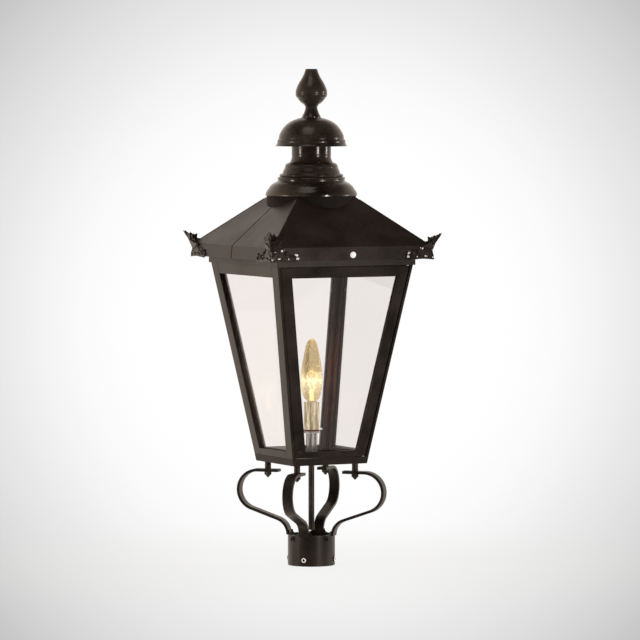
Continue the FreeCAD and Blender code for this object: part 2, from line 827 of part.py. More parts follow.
def profile(r_out, r_in, z_low, height, shares):
    """Outline points from shares of the way from r_out to r_in and up. Arcs have two shares more."""
    points = []
    for share in shares:
        pairs = zip(share[0::2], share[1::2])
        points.append(tuple(value for inward, up in pairs
                            for value in (r_out - inward * (r_out - r_in), z_low + up * height)))
    return points


def chimney_skirt():
    """Stepped turned skirt between the vent collar and the neck, with two beads."""
    outside = profile(vent_collar_r + skirt_overhang, neck_r, skirt_rim_z, skirt_h, [
        (0, 0), (0, 0.04),
        (0.11, 0.2, 0.04, 0.12),
        (0.41, 0.41, 0.24, 0.33),
        (0.48, 0.45), (0.48, 0.48),
        (0.54, 0.56, 0.47, 0.54),
        (0.56, 0.57),
        (0.62, 0.65, 0.55, 0.64),
        (0.65, 0.68), (0.68, 0.75), (0.74, 0.85),
        (0.92, 1, 0.8, 0.96),
    ])
    collar_inner_r = vent_collar_r - vent_collar_wall
    inside = profile(collar_inner_r, neck_r + soffit_fit, skirt_rim_z, skirt_h, [
        (1, 1), (1, 0.94), (0.79, 0.82), (0.52, 0.46), (0.16, 0.18), (0, 0.06), (0, 0),
    ])
    return turned(outside + inside)


def chimney_neck():
    """A plain tube with a flared foot on the skirt."""
    foot_z = skirt_top_z + soffit_fit
    low_z = skirt_top_z - 2 * turned_wall
    return turned([
        (neck_r, low_z),
        (neck_r, foot_z),
        (neck_r + neck_foot, foot_z),
        (neck_r, foot_z + 4 * neck_foot, neck_r + neck_foot * 0.4, foot_z + neck_foot),
        (neck_r, skirt_top_z + neck_h),
        (neck_r - neck_wall, skirt_top_z + neck_h),
        (neck_r - neck_wall, low_z),
    ])


def chimney_cap():
    """Bell-shaped cap over the neck, with a bead above its rim. Air leaves under the rim."""
    outside = profile(cap_rim_r, 0, cap_rim_z, cap_h, [
        (0, 0),
        (0.06, 0.17, 0.05, 0.08),
        (0.07, 0.22), (0.1, 0.25),
        (0.15, 0.48, 0.11, 0.36),
        (0.58, 0.94, 0.3, 0.74),
        (0.64, 0.97), (0.66, 0.96), (0.73, 1),
    ])
    inside = profile(cap_rim_r - turned_wall, 0, cap_rim_z, cap_h - cap_crown, [
        (0.61, 1, 0.31, 0.8), (0.16, 0.5), (0.1, 0.2), (0, 0),
    ])
    inside[0] = inside[0][:2]
    crown = [(rod_r + thread_fit, cap_top_z), (rod_r + thread_fit, cap_crown_z)]
    return turned(outside + crown + inside)


def finial():
    """Turned finial: flared foot, narrow waist, bulb and flat-topped cone. It screws on the rod."""
    outside = profile(finial_r, finial_waist_r, cap_top_z, finial_h, [
        (0.65, 0), (0.65, 0.02),
        (1, 0.2, 0.87, 0.11),
        (0.75, 0.28, 0.94, 0.24),
        (0.19, 0.4, 0.44, 0.33),
        (0, 0.5, 0.03, 0.44),
        (0.06, 0.59, 0.01, 0.55),
        (0.51, 0.77, 0.25, 0.68),
    ])
    tip_z = cap_top_z + finial_h
    tip_edge = finial_tip_r * 0.1
    tip = [(finial_tip_r + tip_edge, tip_z - tip_edge, finial_tip_r * 1.45, tip_z - finial_h * 0.12),
           (finial_tip_r, tip_z), (0, tip_z)]
    bore = [(0, cap_top_z + rod_in_finial), (rod_r + thread_fit, cap_top_z + rod_in_finial),
            (rod_r + thread_fit, cap_top_z)]
    return turned(outside + tip + bore)


def chimney_bridge():
    """A bar across the vent collar that the rod pulls against."""
    reach = vent_collar_r - vent_collar_wall - soffit_fit
    bar = box_about(reach, bridge_width / 2, bridge_z, bridge_z + bridge_thickness)
    bar = bar.common(Part.makeCylinder(reach, bridge_thickness, V(0, 0, bridge_z)))
    return bar.cut(Part.makeCylinder(rod_r + thread_fit, bridge_thickness, V(0, 0, bridge_z)))


def chimney_rod():
    bottom = bridge_z - rod_below_bridge
    top = cap_top_z + rod_in_finial - seat_gap
    return Part.makeCylinder(rod_r, top - bottom, V(0, 0, bottom))


def rod_nuts():
    """A nut under and over the bridge, and one that carries the cap."""
    nuts = []
    for z in (bridge_z - rod_nut_h, bridge_z + bridge_thickness, cap_crown_z - rod_nut_h):
        bore = Part.makeCylinder(rod_r + thread_fit, rod_nut_h, V(0, 0, z))
        nuts.append(hexagon(rod_nut_r, z, z + rod_nut_h).cut(bore))
    return group(nuts)


# --- roof hinge, screw and tab ---

def hinge_centres():
    return (-hinge_spacing / 2, hinge_spacing / 2)


def hinge_pivot_z():
    return fascia_z - hinge_pivot_below


def knuckle(r, x0, x1):
    return Part.makeCylinder(r, x1 - x0, V(x0, hinge_pivot_y, hinge_pivot_z()), V(1, 0, 0))


def hinge_frame_leaves():
    """A leaf on the back of the eaves frame with one knuckle, for each hinge."""
    leaves = []
    half = hinge_centre_knuckle / 2
    low = eaves_z + 1
    for x in hinge_centres():
        depth, height = hinge_pivot_y - cornice_half, hinge_pivot_z() + hinge_knuckle_r / 2 - low
        leaf = Part.makeBox(2 * half, depth, height, V(x - half, cornice_half, low))
        leaf = leaf.fuse(knuckle(hinge_knuckle_r, x - half, x + half))
        leaf = leaf.cut(knuckle(hinge_pin_r + thread_fit, x - half, x + half))
        leaves.append(leaf)
    return group(leaves)


def hinge_lid_knuckles():
    """Two knuckles under the soffit, one each side of the frame's knuckle, for each hinge."""
    knuckles = []
    near = hinge_centre_knuckle / 2 + hinge_knuckle_gap
    for x in hinge_centres():
        for side in (-1, 1):
            ends = sorted([x + side * near, x + side * (near + hinge_side_knuckle)])
            body = knuckle(hinge_knuckle_r, *ends)
            web = Part.makeBox(ends[1] - ends[0], hinge_leaf_thickness, hinge_pivot_below,
                               V(ends[0], hinge_pivot_y - hinge_leaf_thickness / 2, hinge_pivot_z()))
            body = body.fuse(web).cut(knuckle(hinge_pin_r + pivot_clearance, *ends))
            knuckles.append(body)
    return group(knuckles)


def hinge_pins():
    half = hinge_centre_knuckle / 2 + hinge_knuckle_gap + hinge_side_knuckle + hinge_pin_stand_out
    return group([knuckle(hinge_pin_r, x - half, x + half) for x in hinge_centres()])


def fascia_half_at(z):
    return fascia_half - fascia_lean * (z - fascia_z) / fascia_h


def tab_outer_y():
    return -(fascia_half_at(screw_z) - sheet - tab_gap)


def roof_tab():
    """An upstand on the eaves frame, with a slot that is open at its top for the roof screw."""
    outer = tab_outer_y()
    foot_y = -(cornice_half - tab_over_cornice)
    foot = Part.makeBox(tab_width, foot_y - outer, tab_foot, V(-tab_width / 2, outer, cornice_top_z))
    top = screw_z + tab_top_above_screw
    corner = V(-tab_width / 2, outer, cornice_top_z)
    upstand = Part.makeBox(tab_width, tab_thickness, top - cornice_top_z, corner)
    slot_half = screw_r + tab_slot_clearance
    slot = Part.makeCylinder(slot_half, tab_thickness, V(0, outer, screw_z), V(0, 1, 0))
    slot = slot.fuse(Part.makeBox(2 * slot_half, tab_thickness, top - screw_z, V(-slot_half, outer, screw_z)))
    return foot.fuse(upstand).cut(slot)


def roof_screw():
    """Round-headed screw through the front fascia."""
    face = fascia_half_at(screw_z) + screw_head_gap
    nut_end = tab_outer_y() + tab_thickness + tab_nut_gap + screw_nut_h
    head = Part.makeCylinder(screw_head_r, screw_head_h, V(0, -face, screw_z), V(0, -1, 0))
    outer_edge = [e for e in head.Edges if isinstance(e.Curve, Part.Circle) and e.Curve.Center.y < -face - 1]
    head = head.makeFillet(screw_head_r * 0.45, outer_edge)
    shank = Part.makeCylinder(screw_r, face + nut_end, V(0, -face, screw_z), V(0, 1, 0))
    return head.fuse(shank).removeSplitter()


def roof_screw_nut():
    start = tab_outer_y() + tab_thickness + tab_nut_gap
    nut = Part.makeBox(2 * screw_nut_half, screw_nut_h, 2 * screw_nut_half,
                       V(-screw_nut_half, start, screw_z - screw_nut_half))
    return nut.cut(Part.makeCylinder(screw_r + thread_fit, screw_nut_h, V(0, start, screw_z), V(0, 1, 0)))


# --- corner ornaments ---

def wing_outline():
    """One wing, as distances from the corner and heights over the fascia's edge."""
    end, low = wing_length, -ornament_drop
    return flat_outline([
        (0, low),
        (end * 0.86, low, end * 0.43, low + 1.6),
        (end * 0.9, low + 10.5, end, low + 4.6),
        (end * 0.72, low + 12.5, end * 0.8, low + 7.6),
        (end * 0.56, low + 17.5, end * 0.63, low + 18.4),
        (end * 0.4, low + 19.0, end * 0.48, low + 13.6),
        (end * 0.2, low + wing_shoulder_h, end * 0.31, low + 24.4),
        (0, low + wing_shoulder_h),
    ])


def wing_holes():
    """Centres of the pierced holes, as shares of the wing's length and heights over its lower edge."""
    return ((0.24, 6.4), (0.3, 19.6), (0.5, 7.6), (0.62, 11.6), (0.82, 5.2))


def front_right_mitre():
    """The space on the front side of the front right corner's diagonal."""
    reach = 2 * fascia_half
    corners = [V(0, 0, 0), V(reach, -reach, 0), V(-reach, -reach, 0), V(0, 0, 0)]
    return Part.Face(Part.makePolygon(corners)).extrude(V(0, 0, apex_z))


def lean_out(shape, lean_deg, half, z):
    """Takes a shape drawn in front of the XZ plane to the front right corner of the fascia, leaning out."""
    leaning = shape.copy()
    leaning.rotate(V(0, 0, 0), V(1, 0, 0), lean_deg)
    leaning = leaning.mirror(V(0, 0, 0), V(1, 0, 0))
    leaning.translate(V(half + ornament_thickness, -half, z))
    return leaning


def on_wing(shape):
    """Lays a shape on the fascia's front face, with its origin at the lower right corner."""
    lean_deg = math.degrees(math.atan2(-fascia_lean, fascia_h))
    return lean_out(shape, lean_deg, fascia_half + ornament_gap, fascia_z)


def ornament_wing():
    """A wing against the front face of the fascia, at the front right corner."""
    plate = wing_outline().extrude(V(0, -ornament_thickness, 0))
    for share, height in wing_holes():
        start = V(wing_length * share, ornament_thickness, height - ornament_drop)
        plate = plate.cut(Part.makeCylinder(pierced_r, 3 * ornament_thickness, start, V(0, -1, 0)))
    return on_wing(plate)


def leaf_outline():
    """Half of the corner leaf, as distances from the corner at its root and lengths up the leaf."""
    lobe, tip = leaf_lobe_length, leaf_length
    return flat_outline([
        (-tip, 0),
        (lobe * 2, 0),
        (lobe * 0.8, tip * 0.12),
        (lobe * 0.5, tip * 0.4),
        (lobe, tip * 0.8),
        (-lobe * 0.8, tip * 0.66, lobe * 0.1, tip * 0.64),
        (-lobe * 1.1, tip * 0.84),
        (-lobe * 1.8, tip, -lobe * 1.4, tip * 0.93),
        (-tip, tip),
    ])


def ornament_leaf():
    """The front half of the corner leaf. It flares out from the wing's upper edge."""
    root_z = fascia_z + leaf_root_h
    plate = leaf_outline().extrude(V(0, -ornament_thickness, 0))
    return lean_out(plate, leaf_lean_deg, fascia_half_at(root_z) + ornament_gap, root_z)


def ornament(quarter):
    """A pressed corner piece, folded along its middle."""
    front = ornament_wing().fuse(ornament_leaf()).common(front_right_mitre())
    side = front.mirror(V(0, 0, 0), V(1, 1, 0))
    return on_face(front.fuse(side), quarter)


def rivets():
    """Small round heads that fix the wings to the fascia."""
    centre = V(wing_length * rivet_share, -ornament_thickness - thread_fit, rivet_h)
    corner = centre - V(rivet_r, rivet_stand_out, rivet_r)
    keep = Part.makeBox(2 * rivet_r, rivet_stand_out, 2 * rivet_r, corner)
    head = Part.makeSphere(rivet_r, centre).common(keep)
    front = on_wing(head)
    side = front.mirror(V(0, 0, 0), V(1, 1, 0))
    return group([on_face(rivet, quarter) for quarter in range(4) for rivet in (front, side)])


def main():
    os.makedirs("parts", exist_ok=True)
    save("post_collar", post_collar())
    for name, angle in zip(("back_right", "back_left", "front_left", "front_right"), leg_angles()):
        save("leg_" + name, leg(angle))
    save("collar_set_screws", set_screws())
    save("leg_bolts", leg_bolts())
    save("leg_spacers", leg_spacers())
    save("leg_nuts", leg_nuts())
    save("base_pan", base_pan())
    save("post_front_left", front_left_post())
    save("post_front_right", front_right_post())
    save("post_back_right", back_post(1))
    save("post_back_left", back_post(2))
    for quarter, name in ((1, "right"), (2, "back"), (3, "left")):
        save("pane_" + name, fixed_pane(quarter))
        save("pane_retainer_" + name, pane_retainer(quarter))
    save("bottom_rails", bottom_rails())
    save("top_rails", top_rails())
    save("eaves_frame", eaves_frame())
    save("terminal_block", terminal_block())
    save("door_frame", door_frame())
    save("door_pane", door_pane())
    save("door_bead", door_bead())
    save("door_pins", door_pins())
    save("catch_knob", catch_knob())
    save("catch_cam", catch_cam())
    save("conduit_tube", conduit_tube())
    save("conduit_lock_nuts", conduit_lock_nuts())
    save("lamp_stem", lamp_stem())
    save("lamp_holder", lamp_holder())
    save("candle_sleeve", candle_sleeve())
    save("bulb_cap", bulb_cap())
    save("bulb_glass", bulb_glass())
    save("bulb_filament", filament())
    save("roof_shell", roof_shell())
    save("roof_seam_strip", seam_strip())
    save("roof_soffit", soffit())
    save("vent_collar", vent_collar())
    save("chimney_skirt", chimney_skirt())
    save("chimney_neck", chimney_neck())
    save("chimney_cap", chimney_cap())
    save("finial", finial())
    save("chimney_bridge", chimney_bridge())
    save("chimney_rod", chimney_rod())
    save("chimney_rod_nuts", rod_nuts())
    save("roof_hinge_frame_leaves", hinge_frame_leaves())
    save("roof_hinge_lid_knuckles", hinge_lid_knuckles())
    save("roof_hinge_pins", hinge_pins())
    save("roof_tab", roof_tab())
    save("roof_screw", roof_screw())
    save("roof_screw_nut", roof_screw_nut())
    for quarter, name in enumerate(("front_right", "back_right", "back_left", "front_left")):
        save("ornament_" + name, ornament(quarter))
    save("ornament_rivets", rivets())


main()
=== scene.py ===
import bpy
import bmesh
import json
import math
from mathutils import Matrix, Vector


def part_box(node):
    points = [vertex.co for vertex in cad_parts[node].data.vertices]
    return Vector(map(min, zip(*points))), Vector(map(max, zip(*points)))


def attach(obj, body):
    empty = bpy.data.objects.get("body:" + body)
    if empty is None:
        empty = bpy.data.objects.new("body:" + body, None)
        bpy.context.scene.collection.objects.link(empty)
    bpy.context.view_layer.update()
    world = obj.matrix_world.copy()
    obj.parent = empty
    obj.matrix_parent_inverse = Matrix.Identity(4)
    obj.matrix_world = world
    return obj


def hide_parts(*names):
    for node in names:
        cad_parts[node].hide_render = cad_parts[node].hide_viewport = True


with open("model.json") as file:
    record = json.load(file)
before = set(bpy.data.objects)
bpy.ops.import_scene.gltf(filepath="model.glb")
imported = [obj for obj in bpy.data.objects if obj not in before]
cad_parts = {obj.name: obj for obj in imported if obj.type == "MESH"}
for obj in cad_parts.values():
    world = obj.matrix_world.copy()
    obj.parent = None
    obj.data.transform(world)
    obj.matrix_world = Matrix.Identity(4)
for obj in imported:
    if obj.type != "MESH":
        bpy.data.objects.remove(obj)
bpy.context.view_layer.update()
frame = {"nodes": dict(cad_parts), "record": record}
print("frame loaded:", len(frame["nodes"]), "nodes")

mm = 0.001

# where the camera stands: distance and height in metres, lens and sensor in mm, the lantern's axis in pixels
cameraSizes = {
    "turnDeg": 26.98, "distance": 8.2545, "height": 0.8666, "pitchDeg": 3.04, "lens": 266.4, "sensor": 36,
    "axisPixel": 311.38, "pixels": 640, "farEnd": 100,
}


def hexToLinear(text):
    values = [int(text[i:i + 2], 16) / 255 for i in (1, 3, 5)]
    return [v / 12.92 if v <= 0.04045 else ((v + 0.055) / 1.055) ** 2.4 for v in values] + [1.0]


def grey(value):
    return (value, value, value, 1)


def addNode(tree, kind, settings=None, inputs=None, stops=()):
    # settings are the node's own fields, inputs are values or sockets to link from, stops fill a colour ramp
    node = tree.nodes.new(kind)
    for key, value in (settings or {}).items():
        setattr(node, key, value)
    for key, value in (inputs or {}).items():
        socket = node.inputs[key]
        if isinstance(value, bpy.types.NodeSocket):
            tree.links.new(value, socket)
        else:
            socket.default_value = value
    if stops:
        elements = node.color_ramp.elements
        while len(elements) < len(stops):
            elements.new(0.5)
        for element, (place, colour) in zip(elements, stops):
            element.position = place
            element.color = colour
    return node


def newMaterial(name):
    material = bpy.data.materials.new(name)
    material.use_nodes = True
    material.node_tree.nodes.clear()
    return material, material.node_tree


# the real orange peel of about 0.5 mm is too fine to show, so it is drawn at 2.2 mm
paintSizes = {
    "cloud": 55 * mm, "dust": 7 * mm, "dustShare": 0.45, "peel": 2.2 * mm, "peelStrength": 0.14,
    "peelDepth": 0.25 * mm,
}
seamSizes = {"halfWidth": 1.5 * mm, "start": 80 * mm}


def blackStovePaint(name, dark, light, roughLow, roughHigh, seam=False):
    # stove enamelled sheet steel: near-black brown, satin, with a faint orange peel and thin dust
    s = paintSizes
    material, tree = newMaterial(name)
    coords = addNode(tree, "ShaderNodeTexCoord").outputs["Object"]
    cloud = addNode(tree, "ShaderNodeTexNoise", {},
                    {"Vector": coords, "Scale": 1 / s["cloud"], "Detail": 5.0}).outputs["Fac"]
    dust = addNode(tree, "ShaderNodeTexNoise", {},
                   {"Vector": coords, "Scale": 1 / s["dust"], "Detail": 3.0}).outputs["Fac"]
    blend = addNode(tree, "ShaderNodeMath", {"operation": "MULTIPLY_ADD"},
                    {0: dust, 1: s["dustShare"], 2: cloud})
    colour = addNode(tree, "ShaderNodeValToRGB", {}, {"Fac": blend.outputs[0]},
                     [(0.5, hexToLinear(dark)), (0.92, hexToLinear(light))]).outputs["Color"]
    rough = addNode(tree, "ShaderNodeValToRGB", {}, {"Fac": cloud},
                    [(0.3, grey(roughLow)), (0.7, grey(roughHigh))]).outputs["Color"]
    if seam:
        colour, rough = seamShadowLine(tree, coords, colour, rough)
    peel = addNode(tree, "ShaderNodeTexNoise", {}, {"Vector": coords, "Scale": 1 / s["peel"], "Detail": 2.0})
    bump = addNode(tree, "ShaderNodeBump", {}, {"Height": peel.outputs["Fac"], "Strength": s["peelStrength"],
                                                "Distance": s["peelDepth"]})
    # the brown pigment shows in the gloss too
    shader = addNode(tree, "ShaderNodeBsdfPrincipled", {},
                     {"Base Color": colour, "Roughness": rough, "Normal": bump.outputs[0], "IOR": 1.5,
                      "Specular Tint": hexToLinear("#f4e8dc")})
    addNode(tree, "ShaderNodeOutputMaterial", {}, {"Surface": shader.outputs[0]})
    return material


def seamShadowLine(tree, coords, colour, rough):
    # the lapped seam down the left slope: a painted shadow line, dark and rough, that runs on over the fascia
    s = seamSizes
    split = addNode(tree, "ShaderNodeSeparateXYZ", {}, {0: coords})
    across = addNode(tree, "ShaderNodeMath", {"operation": "ABSOLUTE"}, {0: split.outputs["Y"]})
    near = addNode(tree, "ShaderNodeMath", {"operation": "LESS_THAN"},
                   {0: across.outputs[0], 1: s["halfWidth"]})
    left = addNode(tree, "ShaderNodeMath", {"operation": "LESS_THAN"},
                   {0: split.outputs["X"], 1: -s["start"]})
    line = addNode(tree, "ShaderNodeMath", {"operation": "MULTIPLY"},
                   {0: near.outputs[0], 1: left.outputs[0]}).outputs[0]
    shade = addNode(tree, "ShaderNodeMix", {"data_type": "RGBA"},
                    {0: line, 6: colour, 7: hexToLinear("#0b0706")})
    dull = addNode(tree, "ShaderNodeMix", {"data_type": "FLOAT"}, {0: line, 2: rough, 3: 0.9})
    return shade.outputs[2], dull.outputs[0]


zincSizes = {"scratch": 1.5 * mm}


def zincPlate(name, glint):
    # bright zinc plated steel screws: pale silver, half dulled by fine scratches; the glint is a painted
    # highlight, an emission in the plating's own colour
    material, tree = newMaterial(name)
    coords = addNode(tree, "ShaderNodeTexCoord").outputs["Object"]
    scratch = addNode(tree, "ShaderNodeTexNoise", {},
                      {"Vector": coords, "Scale": 1 / zincSizes["scratch"], "Detail": 4.0}).outputs["Fac"]
    colour = addNode(tree, "ShaderNodeValToRGB", {}, {"Fac": scratch},
                     [(0.3, hexToLinear("#d8d8d4")), (0.7, hexToLinear("#f8f8f5"))]).outputs["Color"]
    rough = addNode(tree, "ShaderNodeValToRGB", {}, {"Fac": scratch},
                    [(0.3, grey(0.35)), (0.7, grey(0.55))]).outputs["Color"]
    shader = addNode(tree, "ShaderNodeBsdfPrincipled", {},
                     {"Base Color": colour, "Roughness": rough, "Metallic": 0.3,
                      "Emission Color": colour, "Emission Strength": glint})
    addNode(tree, "ShaderNodeOutputMaterial", {}, {"Surface": shader.outputs[0]})
    return material


setScrewSizes = {"faceRadius": 43.3 * mm, "rowSplit": 30 * mm, "grain": 2 * mm}


def setScrewZinc():
    # zinc ring round a dark key socket: the lower row's outer faces glow with a painted highlight; inside the
    # face radius the colour is dark, painted shade in the key socket; the upper row is all dark
    s = setScrewSizes
    material, tree = newMaterial("zincSetScrewPaintedHighlight")
    coords = addNode(tree, "ShaderNodeTexCoord").outputs["Object"]
    split = addNode(tree, "ShaderNodeSeparateXYZ", {}, {0: coords})
    flat = addNode(tree, "ShaderNodeCombineXYZ", {}, {"X": split.outputs["X"], "Y": split.outputs["Y"]})
    out = addNode(tree, "ShaderNodeVectorMath", {"operation": "LENGTH"}, {0: flat.outputs[0]})
    face = addNode(tree, "ShaderNodeMath", {"operation": "GREATER_THAN"},
                   {0: out.outputs["Value"], 1: s["faceRadius"]})
    low = addNode(tree, "ShaderNodeMath", {"operation": "LESS_THAN"},
                  {0: split.outputs["Z"], 1: s["rowSplit"]})
    paintedHighlightMask = addNode(tree, "ShaderNodeMath", {"operation": "MULTIPLY"},
                   {0: face.outputs[0], 1: low.outputs[0]}).outputs[0]
    grain = addNode(tree, "ShaderNodeTexNoise", {},
                    {"Vector": coords, "Scale": 1 / s["grain"], "Detail": 2.0})
    pale = addNode(tree, "ShaderNodeValToRGB", {}, {"Fac": grain.outputs["Fac"]},
                   [(0.35, hexToLinear("#b9b6ae")), (0.6, hexToLinear("#fbfaf5"))]).outputs["Color"]
    # dark inside the face radius and on the upper row, painted shade in the key socket; pale and glowing on
    # the lower row's faces, a painted highlight
    colour = addNode(tree, "ShaderNodeMix", {"data_type": "RGBA"},
                     {0: paintedHighlightMask, 6: hexToLinear("#2b2521"), 7: pale})
    level = addNode(tree, "ShaderNodeMath", {"operation": "MULTIPLY"}, {0: paintedHighlightMask, 1: 0.7})
    shader = addNode(tree, "ShaderNodeBsdfPrincipled", {},
                     {"Base Color": colour.outputs[2], "Roughness": 0.4, "Metallic": 0.3,
                      "Emission Color": colour.outputs[2], "Emission Strength": level.outputs[0]})
    addNode(tree, "ShaderNodeOutputMaterial", {}, {"Surface": shader.outputs[0]})
    return material


glintSizes = {"glintBreakup": 2.5 * mm}


def paintedGlintMetal():
    # painted glints on the ornament's raised crests: a pale metal colour broken by darker patches, glowing by
    # emission as a painted highlight
    material, tree = newMaterial("paintedGlintCrest")
    coords = addNode(tree, "ShaderNodeTexCoord").outputs["Object"]
    glintBreakup = addNode(tree, "ShaderNodeTexNoise", {},
                    {"Vector": coords, "Scale": 1 / glintSizes["glintBreakup"], "Detail": 2.0})
    colour = addNode(tree, "ShaderNodeValToRGB", {}, {"Fac": glintBreakup.outputs["Fac"]},
                     [(0.36, hexToLinear("#8d857b")), (0.5, hexToLinear("#f6f2ea"))]).outputs["Color"]
    shader = addNode(tree, "ShaderNodeBsdfPrincipled", {},
                     {"Base Color": colour, "Roughness": 0.3, "Metallic": 0.35,
                      "Emission Color": colour, "Emission Strength": 0.5})
    addNode(tree, "ShaderNodeOutputMaterial", {}, {"Surface": shader.outputs[0]})
    return material


paneSizes = {"specks": 9 * mm}


def floatGlass():
    # clear float glass: sharp, with a few dried water specks
    material, tree = newMaterial("clearFloatGlass")
    coords = addNode(tree, "ShaderNodeTexCoord").outputs["Object"]
    specks = addNode(tree, "ShaderNodeTexNoise", {},
                     {"Vector": coords, "Scale": 1 / paneSizes["specks"], "Detail": 4.0})
    rough = addNode(tree, "ShaderNodeValToRGB", {}, {"Fac": specks.outputs["Fac"]},
                    [(0.62, grey(0.0)), (0.72, grey(0.12))]).outputs["Color"]
    shader = addNode(tree, "ShaderNodeBsdfPrincipled", {},
                     {"Base Color": hexToLinear("#fdfaf8"), "Roughness": rough, "IOR": 1.5,
                      "Transmission Weight": 1.0})
    addNode(tree, "ShaderNodeOutputMaterial", {}, {"Surface": shader.outputs[0]})
    return material


# middle and rim are how brightly the glass glows facing the eye and at its outline
bulbLook = {
    "mottle": 9 * mm, "mottleShare": 0.22, "middle": 0.34, "rim": 0.06, "cut": 4.5 * mm, "cutDepth": 1.0 * mm,
    "cutStrength": 0.9, "gain": 1.9,
}


def bulbGlass():
    # lit candle lamp of cut clear glass: an amber glow, brightest low down where the filament is
    s = bulbLook
    material, tree = newMaterial("litBulbGlass")
    low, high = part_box("bulb_glass")
    coords = addNode(tree, "ShaderNodeTexCoord").outputs["Object"]
    height = addNode(tree, "ShaderNodeSeparateXYZ", {}, {0: coords}).outputs["Z"]
    share = addNode(tree, "ShaderNodeMapRange", {},
                    {"Value": height, "From Min": low[2], "From Max": high[2]}).outputs["Result"]
    mottle = addNode(tree, "ShaderNodeTexNoise", {},
                     {"Vector": coords, "Scale": 1 / s["mottle"], "Detail": 2.0})
    place = addNode(tree, "ShaderNodeMath", {"operation": "MULTIPLY_ADD"},
                    {0: mottle.outputs["Fac"], 1: s["mottleShare"], 2: share})
    glow = addNode(tree, "ShaderNodeValToRGB", {}, {"Fac": place.outputs[0]},
                   [(0.1, hexToLinear("#d8c08f")), (0.34, hexToLinear("#fff0c8")),
                    (0.46, hexToLinear("#fff4d2")), (0.56, hexToLinear("#cdb47c")),
                    (0.72, hexToLinear("#b39b6c")), (1.0, hexToLinear("#bca67a"))]).outputs["Color"]
    # thicker to look through at the rim, so the outline is darker than the middle
    rim = addNode(tree, "ShaderNodeLayerWeight", {}, {"Blend": 0.35}).outputs["Facing"]
    through = addNode(tree, "ShaderNodeMapRange", {},
                      {"Value": rim, "To Min": s["middle"], "To Max": s["rim"]}).outputs["Result"]
    # the filament's glare, a soft ball low in the bulb
    ball = addNode(tree, "ShaderNodeValToRGB", {}, {"Fac": share},
                   [(0.12, grey(0.1)), (0.26, grey(0.7)), (0.32, grey(1.5)), (0.38, grey(0.8)),
                    (0.5, grey(0.08))]).outputs["Color"]
    glare = addNode(tree, "ShaderNodeMath", {"operation": "MULTIPLY_ADD"}, {0: ball, 1: through, 2: through})
    # bright glints and darker hollows of the cut pattern
    cut = addNode(tree, "ShaderNodeTexVoronoi", {},
                  {"Vector": coords, "Scale": 1 / s["cut"]}).outputs["Distance"]
    spark = addNode(tree, "ShaderNodeValToRGB", {}, {"Fac": cut},
                    [(0.1, grey(1.0)), (0.25, grey(0.5)), (0.75, grey(0.3))]).outputs["Color"]
    sparkle = addNode(tree, "ShaderNodeMath", {"operation": "MULTIPLY"}, {0: spark, 1: glare.outputs[0]})
    level = addNode(tree, "ShaderNodeMath", {"operation": "MULTIPLY"}, {0: sparkle.outputs[0], 1: s["gain"]})
    bump = addNode(tree, "ShaderNodeBump", {},
                   {"Height": cut, "Strength": s["cutStrength"], "Distance": s["cutDepth"]})
    shader = addNode(tree, "ShaderNodeBsdfPrincipled", {},
                     {"Base Color": hexToLinear("#d9c79c"), "Roughness": 0.05, "IOR": 1.5,
                      "Transmission Weight": 0.9, "Emission Color": glow,
                      "Emission Strength": level.outputs[0], "Normal": bump.outputs[0]})
    addNode(tree, "ShaderNodeOutputMaterial", {}, {"Surface": shader.outputs[0]})
    return material


def hotFilament():
    # glowing tungsten wire: an even warm white that hides its own surface
    material, tree = newMaterial("hotFilament")
    shader = addNode(tree, "ShaderNodeBsdfPrincipled", {},
                     {"Base Color": hexToLinear("#ffd9a0"), "Roughness": 0.5,
                      "Emission Color": hexToLinear("#ffe3b0"), "Emission Strength": 1.6})
    addNode(tree, "ShaderNodeOutputMaterial", {}, {"Surface": shader.outputs[0]})
    return material


tubeSizes = {"alongScale": 30.0}


def tubeWithPaintedReflections(name, dark, light, rough, metal, glow, reflectionBandWidth):
    # drawn tube with painted reflections: light and dark bands run along it, and its emission glow is painted
    # light from the lamp above
    material, tree = newMaterial(name)
    coords = addNode(tree, "ShaderNodeTexCoord").outputs["Object"]
    stretch = addNode(tree, "ShaderNodeMapping", {},
                      {"Vector": coords, "Scale": (1 / reflectionBandWidth, 1 / reflectionBandWidth, tubeSizes["alongScale"])})
    reflectionBands = addNode(tree, "ShaderNodeTexNoise", {},
                    {"Vector": stretch.outputs[0], "Scale": 1.0, "Detail": 3.0})
    colour = addNode(tree, "ShaderNodeValToRGB", {}, {"Fac": reflectionBands.outputs["Fac"]},
                     [(0.3, hexToLinear(dark)), (0.7, hexToLinear(light))]).outputs["Color"]
    shader = addNode(tree, "ShaderNodeBsdfPrincipled", {},
                     {"Base Color": colour, "Roughness": rough, "Metallic": metal,
                      "Emission Color": colour, "Emission Strength": glow})
    addNode(tree, "ShaderNodeOutputMaterial", {}, {"Surface": shader.outputs[0]})
    return material


ceramicSizes = {"cloud": 6 * mm}


def glazedCeramic():
    # glazed porcelain of the lamp holder and terminals: cream white, glossy, very faintly clouded
    material, tree = newMaterial("glazedCeramic")
    coords = addNode(tree, "ShaderNodeTexCoord").outputs["Object"]
    cloud = addNode(tree, "ShaderNodeTexNoise", {},
                    {"Vector": coords, "Scale": 1 / ceramicSizes["cloud"], "Detail": 3.0})
    colour = addNode(tree, "ShaderNodeValToRGB", {}, {"Fac": cloud.outputs["Fac"]},
                     [(0.3, hexToLinear("#dcd6c8")), (0.7, hexToLinear("#ece8de"))]).outputs["Color"]
    shader = addNode(tree, "ShaderNodeBsdfPrincipled", {},
                     {"Base Color": colour, "Roughness": 0.2, "IOR": 1.5})
    addNode(tree, "ShaderNodeOutputMaterial", {}, {"Surface": shader.outputs[0]})
    return material


